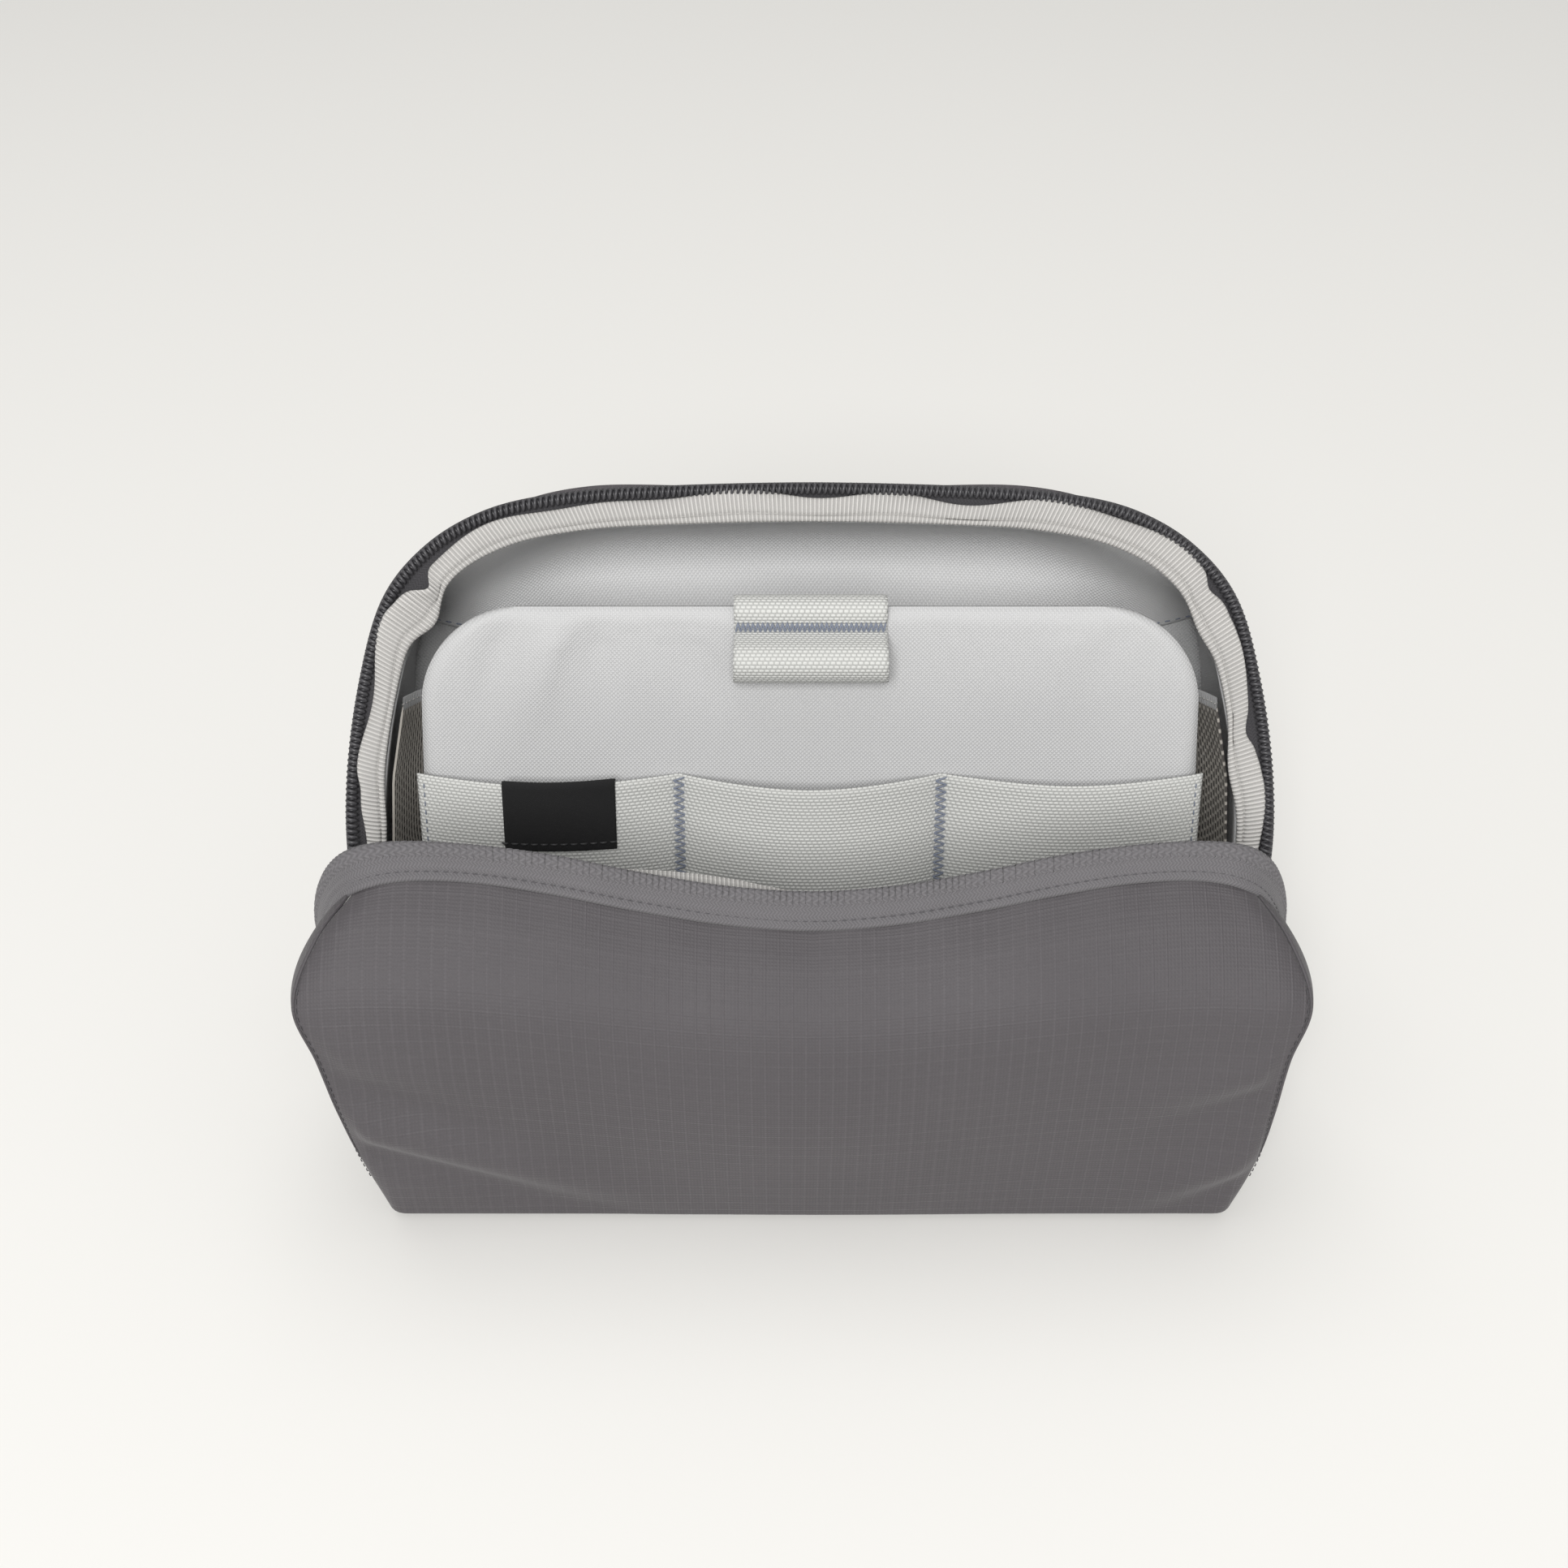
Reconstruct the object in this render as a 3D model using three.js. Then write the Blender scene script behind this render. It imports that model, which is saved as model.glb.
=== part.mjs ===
// Cable organizer pouch, standing on its base with the zip fully open.
//
// Units are millimetres. +X runs along the pouch's width, +Y from the front wall to the back
// wall and +Z up. The origin is the middle of the footprint's bounding box, on the floor.
// Inside this file, depth 0 is the front edge of the base; the last group moves it to the origin.
//
// Every fabric layer is a thin closed sheet: a box whose grid is bent onto a surface.

import * as THREE from 'three';

// ---- driving dimensions -------------------------------------------------------------------

const BASE_HALF_WIDTH = 105;
const BASE_DEPTH = 86;
const BASE_CORNER_RADIUS = 14;
const FOOTPRINT_MIDDLE = 66.7;          // depth of the bounding box's middle

const FABRIC = 1.0;                     // outer ripstop with its coating
const LINING = 0.8;
const FOAM = 3.0;
const BOARD = 2.0;
const PLY_GAP = 0.3;                    // clearance between neighbouring plies

const BACK_LEAN = THREE.MathUtils.degToRad(24.6);
const BACK_PANEL_HEIGHT = 138;

const ORGANIZER_LEAN = THREE.MathUtils.degToRad(15);
const ORGANIZER_FOOT = new THREE.Vector2(52, 7);     // depth and height of its bottom seam
const ORGANIZER_HEIGHT = 127;
const ORGANIZER_HALF_WIDTH = 101;                    // at the foot
const ORGANIZER_TAPER = 5.5;                         // narrower by this at the top
const ORGANIZER_CORNER_RADIUS = 18;
const POCKET_BAND_HEIGHT = 81;
const POCKET_COUNT = 3;
const POCKET_BULGES = [6.5, 9, 6.5];               // how far each pocket stands open
const PEN_LOOP_WIDTH = 38;
const PEN_LOOP_BORE = 11;
const LABEL_WIDTH = 28;
const LABEL_HEIGHT = 18;

const ZIP_TAPE = 0.8;
const ZIP_COIL_RADIUS = 1.4;
const COIL_SHARE = 0.84;                // place of the coil across its tape, from seam to free edge
const BINDING_END = 0.62;               // the binding covers the tape up to this share

const POUCH_CORE = new THREE.Vector3(0, 48, 62);     // a point inside the main compartment

// ---- materials ----------------------------------------------------------------------------

const finish = (colour, roughness, metalness = 0) => ({ color: colour, roughness, metalness });
const OUTER_RIPSTOP = finish(0x77747a, 0.72);
const ZIP_TAPE_GREY = finish(0x7d7a80, 0.85);
const ZIP_COIL_DARK = finish(0x3f3e43, 0.4);
const LINING_GREY = finish(0xc9cbcb, 0.7);
const GROSGRAIN = finish(0xe3e0da, 0.85);
const ELASTIC = finish(0xc5c7c0, 0.9);
const MESH_FABRIC = finish(0xb9b4aa, 0.9);
const THREAD_BLUE_GREY = finish(0x8d93a0, 0.8);
const LABEL_BLACK = finish(0x17171a, 0.85);
const FOAM_WHITE = finish(0xe8e8e4, 0.95);
const STIFFENER_GREY = finish(0x5a5a5c, 0.6);
const SLIDER_METAL = finish(0x4a4a4e, 0.35, 0.8);

// ---- shape helpers ------------------------------------------------------------------------

const v3 = (x, y, z) => new THREE.Vector3(x, y, z);

function signedVolume(geometry) {
  const place = geometry.attributes.position;
  const index = geometry.index;
  const a = new THREE.Vector3();
  const b = new THREE.Vector3();
  const c = new THREE.Vector3();
  let sum = 0;
  for (let i = 0; i < index.count; i += 3) {
    a.fromBufferAttribute(place, index.getX(i));
    b.fromBufferAttribute(place, index.getX(i + 1));
    c.fromBufferAttribute(place, index.getX(i + 2));
    sum += a.dot(b.cross(c)) / 6;
  }
  return sum;
}

function turnFacesOut(geometry) {
  if (signedVolume(geometry) >= 0) {
    return geometry;
  }
  const index = geometry.index;
  for (let i = 0; i < index.count; i += 3) {
    const second = index.getX(i + 1);
    index.setX(i + 1, index.getX(i + 2));
    index.setX(i + 2, second);
  }
  return geometry;
}

// A box of across x up cells, one cell thick, with each corner moved to place(u, v, w).
function bentBox(across, up, place) {
  const geometry = new THREE.BoxGeometry(1, 1, 1, across, up, 1);
  const corners = geometry.attributes.position;
  for (let i = 0; i < corners.count; i += 1) {
    const point = place(corners.getX(i) + 0.5, corners.getY(i) + 0.5, corners.getZ(i) + 0.5);
    corners.setXYZ(i, point.x, point.y, point.z);
  }
  geometry.deleteAttribute('normal');
  geometry.deleteAttribute('uv');
  turnFacesOut(geometry);
  geometry.computeVertexNormals();
  return geometry;
}

// The unit normal of a surface, on the side that `outside` points to: a vector, a function that
// gives one for a point, or null for away from the middle of the pouch.
function normalOf(surface, u, v, outside) {
  const step = 0.002;
  const along = surface(Math.min(1, u + step), v).sub(surface(Math.max(0, u - step), v));
  const up = surface(u, Math.min(1, v + step)).sub(surface(u, Math.max(0, v - step)));
  const normal = along.cross(up).normalize();
  const point = surface(u, v);
  const side = typeof outside === 'function' ? outside(point) : outside ?? point.sub(POUCH_CORE);
  return normal.dot(side) < 0 ? normal.negate() : normal;
}

// A sheet that fills the space between two offsets of a surface.
function sheet(surface, { from, to, across, up, outside }) {
  return bentBox(across, up, (u, v, w) => {
    const lift = THREE.MathUtils.lerp(from, to, w);
    return surface(u, v).addScaledVector(normalOf(surface, u, v, outside), lift);
  });
}

const clamp01 = (value) => THREE.MathUtils.clamp(value, 0, 1);
const mirrored = (points) => points.map((point) => v3(-point.x, point.y, point.z));

// A smooth curve from the left end over the middle to the right end, from its right half.
function acrossCurve(rightHalf) {
  const left = mirrored(rightHalf).reverse();
  const middle = rightHalf[0].x === 0 ? 1 : 0;
  return new THREE.CatmullRomCurve3([...left.slice(0, left.length - middle), ...rightHalf]);
}

const between = (first, second) => (u, v) => first.getPoint(u).lerp(second.getPoint(u), v);

function tube(path, radius, steps, sides = 6) {
  const section = new THREE.Shape();
  for (let i = 0; i < sides; i += 1) {
    const angle = (i * 2 * Math.PI) / sides;
    const x = radius * Math.cos(angle);
    const y = radius * Math.sin(angle);
    if (i === 0) {
      section.moveTo(x, y);
    } else {
      section.lineTo(x, y);
    }
  }
  section.closePath();
  return new THREE.ExtrudeGeometry(section, { steps, extrudePath: path, bevelEnabled: false });
}

function roundedRectangle(halfWidth, depth, radius) {
  const shape = new THREE.Shape();
  shape.moveTo(-halfWidth + radius, 0);
  shape.lineTo(halfWidth - radius, 0);
  shape.absarc(halfWidth - radius, radius, radius, -Math.PI / 2, 0);
  shape.lineTo(halfWidth, depth - radius);
  shape.absarc(halfWidth - radius, depth - radius, radius, 0, Math.PI / 2);
  shape.lineTo(-halfWidth + radius, depth);
  shape.absarc(-halfWidth + radius, depth - radius, radius, Math.PI / 2, Math.PI);
  shape.lineTo(-halfWidth, radius);
  shape.absarc(-halfWidth + radius, radius, radius, Math.PI, Math.PI * 1.5);
  return shape;
}

function plate(shape, bottom, thickness) {
  const geometry = new THREE.ExtrudeGeometry(shape, {
    depth: thickness,
    bevelEnabled: false,
    curveSegments: 5,
  });
  return geometry.translate(0, 0, bottom);
}

const pouch = new THREE.Group();

function add(name, geometry, look) {
  const mesh = new THREE.Mesh(geometry, new THREE.MeshStandardMaterial(look));
  mesh.name = name;
  pouch.add(mesh);
}

// Makes a left and a right copy: build(side) gets -1 or 1.
function addPair(name, build, look) {
  add(`${name}_left`, build(-1), look);
  add(`${name}_right`, build(1), look);
}

// ---- base ---------------------------------------------------------------------------------

const boardBottom = FABRIC + PLY_GAP;
const liningBottom = boardBottom + BOARD + PLY_GAP;
const baseTop = liningBottom + LINING;

function baseLayer(inset, bottom, thickness) {
  const outline = roundedRectangle(
    BASE_HALF_WIDTH - inset,
    BASE_DEPTH - 2 * inset,
    BASE_CORNER_RADIUS - inset,
  );
  return plate(outline, bottom, thickness).translate(0, inset, 0);
}

add('base_outer_panel', baseLayer(0, 0, FABRIC), OUTER_RIPSTOP);
add('base_stiffener_board', baseLayer(4, boardBottom, BOARD), STIFFENER_GREY);
add('base_lining', baseLayer(3, liningBottom, LINING), LINING_GREY);

// Below the end of the zip each side is one small triangle that stays with the base.
const ZIP_END_DEPTH = 47;
const ZIP_END_HEIGHT = 20;
const LOWER_GUSSET_FOOT = 66;
const LOWER_GUSSET_HEAD = 8;
const LOWER_GUSSET_FLARE = 1.5;         // it leans out from inside the base's edge to outside it
const LOWER_GUSSET_HEIGHT = ZIP_END_HEIGHT - 2;

function lowerGusset(side) {
  const surface = (u, v) => {
    const length = THREE.MathUtils.lerp(LOWER_GUSSET_FOOT, LOWER_GUSSET_HEAD, v);
    const middle = THREE.MathUtils.lerp(BASE_DEPTH / 2, ZIP_END_DEPTH, v);
    const x = BASE_HALF_WIDTH + LOWER_GUSSET_FLARE * (2 * v - 1);
    const height = FABRIC + PLY_GAP + v * LOWER_GUSSET_HEIGHT;
    return v3(side * x, middle + (u - 0.5) * length, height);
  };
  return sheet(surface, { from: 0, to: FABRIC, across: 6, up: 3 });
}

addPair('side_gusset_lower', lowerGusset, OUTER_RIPSTOP);

// ---- front wall ---------------------------------------------------------------------------

// Side seam of the front wall, from the base corner over the widest point to the shoulder.
const frontSide = new THREE.CatmullRomCurve3([
  v3(105, 0, 1.6),
  v3(109, -3, 23),
  v3(110.5, -5, 43),
  v3(112.5, -6, 62),
  v3(115, -5, 80),
  v3(111, 4, 92),
  v3(103, 13, 98),
]);
const frontMiddle = new THREE.CatmullRomCurve3([
  v3(0, 0, 1.6),
  v3(0, -5, 21),
  v3(0, -9, 40),
  v3(0, -10, 57),
  v3(0, -7, 72),
  v3(0, 1, 82),
  v3(0, 10, 88.4),
]);
const RIM_SHOULDER = 0.86;              // share of the half width where the rim stops sagging

// Goes from 1 in the middle of the wall to 0 at its shoulders, along a cosine.
function sagShare(u) {
  const reach = Math.min(1, Math.abs(u) / RIM_SHOULDER);
  return (1 + Math.cos(Math.PI * reach)) / 2;
}

function frontWall(u, v) {
  const share = 2 * u - 1;
  const side = frontSide.getPoint(v);
  const middle = frontMiddle.getPoint(v);
  const point = side.clone().lerp(middle, sagShare(share));
  point.x = side.x * share;
  return point;
}

const frontFacing = v3(0, -1, 0.4);
const frontWallSheet = (from, to) => sheet(frontWall, {
  from,
  to,
  across: 16,
  up: 10,
  outside: frontFacing,
});
add('front_outer_panel', frontWallSheet(-FABRIC, 0), OUTER_RIPSTOP);
const frontLiningOuter = -FABRIC - PLY_GAP;
add('front_lining', frontWallSheet(frontLiningOuter - LINING, frontLiningOuter), LINING_GREY);

// Rim (the coil's edge of the tape) and seam (the fabric's edge of the tape), right halves.
const frontRim = acrossCurve([
  v3(0, 15.5, 95.2),
  v3(20, 16, 96.5),
  v3(40, 17.6, 99.4),
  v3(58, 19.4, 102.6),
  v3(76, 20.7, 104.6),
  v3(92, 21.4, 105),
  v3(103, 22.4, 102.3),
  v3(110.5, 25.4, 94),
  v3(116, 30.5, 79),
  v3(118.2, 36.5, 60),
  v3(116, 42, 41),
  v3(113, 46, 27),
]);
const frontSeam = acrossCurve([
  v3(0, 10.6, 88.8),
  v3(20, 11.2, 90.1),
  v3(40, 12.7, 93),
  v3(58, 14.4, 96.2),
  v3(75, 15.8, 98.4),
  v3(90, 16.2, 98.8),
  v3(100.5, 15.6, 96.9),
  v3(108, 18, 89.5),
  v3(114.4, 23, 75),
  v3(117.4, 28.6, 58),
  v3(115.6, 34.6, 39),
  v3(112.8, 39.5, 25),
]);
const frontTape = between(frontSeam, frontRim);
const TAPE_START = 0.06;                // a tape begins this share away from its seam line
const FRONT_BINDING_START = 0.12;
const frontTapeSheet = (from, to, low, high, across) => sheet(
  (u, v) => frontTape(u, THREE.MathUtils.lerp(low, high, v)),
  { from, to, across, up: 1, outside: null },
);
add('front_zip_tape', frontTapeSheet(0, ZIP_TAPE, TAPE_START, 1, 40), ZIP_TAPE_GREY);
add(
  'front_binding',
  frontTapeSheet(-PLY_GAP - ZIP_TAPE, -PLY_GAP, FRONT_BINDING_START, BINDING_END, 40),
  GROSGRAIN,
);

// The line that a coil follows: on the inner face of a tape, just inside its free edge.
function coilPath(tape, share, lift, outside, count) {
  const points = [];
  const end = 0.004;
  for (let i = 0; i <= count; i += 1) {
    const u = THREE.MathUtils.lerp(end, 1 - end, i / count);
    const normal = normalOf(tape, u, share, outside);
    points.push(tape(u, share).addScaledVector(normal, lift));
  }
  return new THREE.CatmullRomCurve3(points);
}

const coilLift = -PLY_GAP - ZIP_COIL_RADIUS;
add(
  'front_zip_coil',
  tube(coilPath(frontTape, COIL_SHARE, coilLift, null, 40), ZIP_COIL_RADIUS, 60),
  ZIP_COIL_DARK,
);

// Front half of each side wall: from the front seam to the seam of the zip tape.
const frontGussetBack = new THREE.CatmullRomCurve3([
  v3(107.5, 9, 9),
  v3(110.5, 28, 18.5),
  v3(112.4, 38.6, 25.4),
  v3(115.2, 34, 39),
  v3(117, 28, 58),
  v3(114, 22.4, 74.5),
  v3(109.2, 17.6, 86.5),
]);
const frontGussetFront = new THREE.CatmullRomCurve3([
  v3(106.6, 2.2, 4.2),
  v3(110.3, -1.2, 23),
  v3(112, -3.2, 43),
  v3(114, -4, 62),
  v3(115.8, -2.6, 79),
  v3(112.6, 5.6, 89.5),
  v3(108.4, 12.4, 92.4),
]);

const FRONT_GUSSET_SOFTNESS = 1.6;      // how far it bulges between its seams

function frontGusset(side, from, to) {
  const surface = (u, v) => {
    const point = frontGussetFront.getPoint(v).lerp(frontGussetBack.getPoint(v), u);
    point.x += FRONT_GUSSET_SOFTNESS * Math.sin(Math.PI * u) * Math.sin(Math.PI * v);
    point.x *= side;
    return point;
  };
  return sheet(surface, { from, to, across: 4, up: 12, outside: v3(side, 0, 0) });
}

addPair('front_gusset', (side) => frontGusset(side, 0, FABRIC), OUTER_RIPSTOP);

// ---- back wall ----------------------------------------------------------------------------

const backUp = v3(0, Math.sin(BACK_LEAN), Math.cos(BACK_LEAN));
const backForward = v3(0, -Math.cos(BACK_LEAN), Math.sin(BACK_LEAN));
const backFoot = v3(0, BASE_DEPTH, 1.6);

// A point on the back wall: x across, `up` from the base seam and `forward` of the outer face.
function onBack(x, up, forward) {
  return v3(x, 0, 0).add(backFoot).addScaledVector(backUp, up).addScaledVector(backForward, forward);
}

const BACK_HALF_WIDTH = 110;
const BACK_FOOT_HALF_WIDTH = 104;
const BACK_CORNER_RADIUS = 42;
const BACK_BELLY = 4;                   // how far the soft panel bulges backwards

function backHalfWidth(up, height, inset) {
  const spread = Math.sin((Math.PI / 2) * clamp01(up / 45));
  const plain = THREE.MathUtils.lerp(BACK_FOOT_HALF_WIDTH, BACK_HALF_WIDTH, spread) - inset;
  const radius = BACK_CORNER_RADIUS - inset;
  const rise = Math.max(0, up - (height - radius));
  return plain - radius + Math.sqrt(Math.max(0, radius * radius - rise * rise));
}

// Part of the back wall's plane, from low to high, inset from the panel's outline.
function backPly({ low, high, inset, from, to, across = 14, up = 9 }) {
  const height = BACK_PANEL_HEIGHT - inset;
  return bentBox(across, up, (u, v, w) => {
    const eased = Math.sin((Math.PI / 2) * v);
    const level = THREE.MathUtils.lerp(low, high, eased);
    const share = 2 * u - 1;
    const belly = BACK_BELLY * (1 - share * share) * Math.sin(Math.PI * clamp01(level / BACK_PANEL_HEIGHT));
    const forward = THREE.MathUtils.lerp(from, to, w) - belly;
    return onBack(share * backHalfWidth(level, height, inset), level, forward);
  });
}

const foamFrom = FABRIC + PLY_GAP;
const liningFrom = foamFrom + FOAM + PLY_GAP;
const pocketFrom = liningFrom + LINING + PLY_GAP;
const PLY_INSET = 5.2;
const HEM_LEVEL = 97;
const HEM_HEIGHT = 6;
const MESH_LEVEL = 80;
const MESH_HEM_HEIGHT = 6.3;

add(
  'back_outer_panel',
  backPly({ low: 0.5, high: BACK_PANEL_HEIGHT, inset: 0, from: 0, to: FABRIC }),
  OUTER_RIPSTOP,
);
add(
  'back_foam_pad',
  backPly({ low: 7, high: 130, inset: PLY_INSET + 1, from: foamFrom, to: foamFrom + FOAM }),
  FOAM_WHITE,
);
add(
  'back_lining',
  backPly({ low: 8, high: 132, inset: PLY_INSET, from: liningFrom, to: liningFrom + LINING }),
  LINING_GREY,
);
add(
  'back_lining_hem',
  backPly({
    low: HEM_LEVEL,
    high: HEM_LEVEL + HEM_HEIGHT,
    inset: PLY_INSET + 1.5,
    from: pocketFrom,
    to: pocketFrom + LINING,
    up: 1,
  }),
  LINING_GREY,
);

// The mesh pocket stands away from the lining at its open top and meets it at its foot.
const MESH_STAND_OFF = 12;
const MESH_THICKNESS = 0.6;
const MESH_HEM_THICKNESS = 1.2;
const MESH_SIDE_INSET = PLY_INSET + 5;

function meshPocket(low, high, thickness, rows) {
  return bentBox(12, rows, (u, v, w) => {
    const level = THREE.MathUtils.lerp(low, high, v);
    const share = 2 * u - 1;
    const lean = MESH_STAND_OFF * (1 - share ** 4) * clamp01(level / high);
    const belly = BACK_BELLY * (1 - share * share) * Math.sin(Math.PI * level / BACK_PANEL_HEIGHT);
    const forward = pocketFrom + lean - belly + thickness * w;
    return onBack(share * (BACK_HALF_WIDTH - MESH_SIDE_INSET), level, forward);
  });
}

const meshHemFoot = MESH_LEVEL - MESH_HEM_HEIGHT;
add('mesh_pocket', meshPocket(10, meshHemFoot - PLY_GAP, MESH_THICKNESS, 4), MESH_FABRIC);
add('mesh_pocket_binding', meshPocket(meshHemFoot, MESH_LEVEL, MESH_HEM_THICKNESS, 1), LINING_GREY);

// Coil edge of the back tape, its seam with the gusset, and the seam of gusset and panel.
const backRim = acrossCurve([
  v3(0, 112, 146.2),
  v3(41, 111.5, 145.3),
  v3(63, 110.6, 143.9),
  v3(81, 108.2, 140.6),
  v3(96, 103, 133.6),
  v3(106, 95, 122.6),
  v3(111.6, 83, 105.5),
  v3(114.6, 69, 87),
  v3(115.4, 58.5, 68),
  v3(112.6, 52.5, 47),
  v3(108.6, 49.5, 28),
]);
const backSeam = acrossCurve([
  v3(0, 107, 139.3),
  v3(39, 106.6, 138.5),
  v3(59, 105.8, 137.2),
  v3(75.5, 103.6, 134.4),
  v3(89, 99.2, 128.4),
  v3(98, 91.8, 118),
  v3(103.2, 80.8, 102.4),
  v3(106.2, 68, 85.2),
  v3(107.6, 60.5, 67),
  v3(107, 58.5, 47),
  v3(106.8, 57, 29),
]);

const GUSSET_INSET = 1.4;               // the gusset's outer face lies just inside the panel's edge
const GUSSET_END = FABRIC + PLY_GAP + 0.4;
const cornerCentreX = BACK_HALF_WIDTH - BACK_CORNER_RADIUS;
const cornerCentreUp = BACK_PANEL_HEIGHT - BACK_CORNER_RADIUS;
const cornerReach = BACK_CORNER_RADIUS - GUSSET_INSET;
const cornerPoints = [2, 28, 52, 76].map((degrees) => {
  const angle = THREE.MathUtils.degToRad(degrees);
  return [cornerCentreX + cornerReach * Math.sin(angle), cornerCentreUp + cornerReach * Math.cos(angle)];
});
const sidePoints = [88, 70, 52, 33, 12].map((up) => [backHalfWidth(up, BACK_PANEL_HEIGHT, GUSSET_INSET), up]);
const backPanelEdge = acrossCurve([
  [0, BACK_PANEL_HEIGHT - GUSSET_INSET],
  [cornerCentreX / 2, BACK_PANEL_HEIGHT - GUSSET_INSET],
  ...cornerPoints,
  ...sidePoints,
].map(([x, up]) => onBack(x, up, GUSSET_END)));

// The tape's outer face looks backwards along the top and sideways down its ends.
const backTapeFacing = (point) => v3(0.02 * point.x, 0.81, -0.59);
const backTape = between(backSeam, backRim);
const backTapeSheet = (from, to, low, high) => sheet(
  (u, v) => backTape(u, THREE.MathUtils.lerp(low, high, v)),
  { from, to, across: 44, up: 1, outside: backTapeFacing },
);
const BACK_BINDING_FROM = -1.9;
const BACK_BINDING_TO = -0.9;
add('back_zip_tape', backTapeSheet(0, ZIP_TAPE, TAPE_START, 1), ZIP_TAPE_GREY);
add('back_binding', backTapeSheet(BACK_BINDING_FROM, BACK_BINDING_TO, 0, BINDING_END), GROSGRAIN);
add(
  'back_zip_coil',
  tube(coilPath(backTape, COIL_SHARE, coilLift, backTapeFacing, 44), ZIP_COIL_RADIUS, 70),
  ZIP_COIL_DARK,
);

const GUSSET_SOFTNESS = 2.5;            // how far the gusset bulges between its seams
const GUSSET_START = 0.05;              // share of the way from the tape's seam where it begins

function backGusset(u, v) {
  const share = THREE.MathUtils.lerp(GUSSET_START, 1, v);
  const point = backSeam.getPoint(u).lerp(backPanelEdge.getPoint(u), share);
  const outwards = v3(point.x, 0, Math.max(0, point.z - 60)).normalize();
  return point.addScaledVector(outwards, GUSSET_SOFTNESS * Math.sin(Math.PI * v));
}

const backGussetSheet = (from, to) => sheet(backGusset, { from, to, across: 36, up: 4, outside: null });
add('back_gusset', backGussetSheet(0, FABRIC), OUTER_RIPSTOP);
add('back_gusset_lining', backGussetSheet(-PLY_GAP - LINING, -PLY_GAP), LINING_GREY);

// ---- organizer panel ----------------------------------------------------------------------

const organizerUp = v3(0, Math.sin(ORGANIZER_LEAN), Math.cos(ORGANIZER_LEAN));
const organizerForward = v3(0, -Math.cos(ORGANIZER_LEAN), Math.sin(ORGANIZER_LEAN));
const organizerFoot = v3(0, ORGANIZER_FOOT.x, ORGANIZER_FOOT.y);

function onOrganizer(x, up, forward) {
  return v3(x, 0, 0)
    .add(organizerFoot)
    .addScaledVector(organizerUp, up)
    .addScaledVector(organizerForward, forward);
}

function organizerHalfWidth(up, inset) {
  const plain = ORGANIZER_HALF_WIDTH - ORGANIZER_TAPER * clamp01(up / ORGANIZER_HEIGHT) - inset;
  const radius = ORGANIZER_CORNER_RADIUS - inset;
  const rise = Math.max(0, up - (ORGANIZER_HEIGHT - inset - radius));
  return plain - radius + Math.sqrt(Math.max(0, radius * radius - rise * rise));
}

function organizerPly(inset, from, to) {
  return bentBox(8, 10, (u, v, w) => {
    const level = (ORGANIZER_HEIGHT - inset) * Math.sin((Math.PI / 2) * v);
    const share = 2 * u - 1;
    return onOrganizer(
      share * organizerHalfWidth(level, inset),
      level,
      THREE.MathUtils.lerp(from, to, w),
    );
  });
}

const foamHalf = FOAM / 2;
const coverFrom = foamHalf + PLY_GAP;
const coverTo = coverFrom + LINING;
const FOAM_INSET = 1.5;
add('organizer_foam', organizerPly(FOAM_INSET, -foamHalf, foamHalf), FOAM_WHITE);
add('organizer_front_cover', organizerPly(0, coverFrom, coverTo), LINING_GREY);
add('organizer_back_cover', organizerPly(0, -coverTo, -coverFrom), LINING_GREY);

// Elastic band: flat at its ends and at each divider, and bowed forward over each pocket.
const ELASTIC_THICKNESS = 1.2;
const BAND_FOOT = 1;
const BOW_ROUNDNESS = 0.7;              // under 1, so the bow rises steeply beside a divider
const bandFrom = coverTo + PLY_GAP;
const bandEnd = ORGANIZER_HALF_WIDTH - ORGANIZER_TAPER * 0.66;

function bandLift(u, v) {
  const pocket = Math.min(POCKET_COUNT - 1, Math.floor(POCKET_COUNT * u));
  const bow = Math.abs(Math.sin(Math.PI * POCKET_COUNT * u));
  const foot = Math.sin((Math.PI / 2) * clamp01(v / 0.25));
  return POCKET_BULGES[pocket] * (bow ** BOW_ROUNDNESS) * foot;
}

add(
  'elastic_pocket_band',
  bentBox(36, 8, (u, v, w) => onOrganizer(
    (2 * u - 1) * bandEnd,
    BAND_FOOT + v * POCKET_BAND_HEIGHT,
    bandFrom + bandLift(u, v) + w * ELASTIC_THICKNESS,
  )),
  ELASTIC,
);

// Rows of zigzag stitching lie on the band where it is sewn down between the pockets.
const DIVIDER_WIDTH = 3;
const DIVIDER_FOOT = 6;
const DIVIDER_THICKNESS = 0.6;
const dividerFrom = bandFrom + ELASTIC_THICKNESS + PLY_GAP + 2.0;     // clear of the steep bows
addPair('pocket_divider_stitch', (side) => {
  const middle = (side * bandEnd) / POCKET_COUNT;
  return bentBox(2, 1, (u, v, w) => onOrganizer(
    middle + (u - 0.5) * DIVIDER_WIDTH,
    THREE.MathUtils.lerp(DIVIDER_FOOT, POCKET_BAND_HEIGHT, v),
    dividerFrom + w * DIVIDER_THICKNESS,
  ));
}, THREAD_BLUE_GREY);

// Pen loop: over the panel's top edge, sewn down, then out round the pen and back to the panel.
const PEN_LOOP_TOP = ORGANIZER_HEIGHT + 2.2;
const PEN_LOOP_SEWN = ORGANIZER_HEIGHT - 7;
const loopMiddleUp = PEN_LOOP_SEWN - 1 - PEN_LOOP_BORE / 2;
const loopLayer = coverTo + PLY_GAP + 0.7;           // where the loop lies flat on a cover

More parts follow.
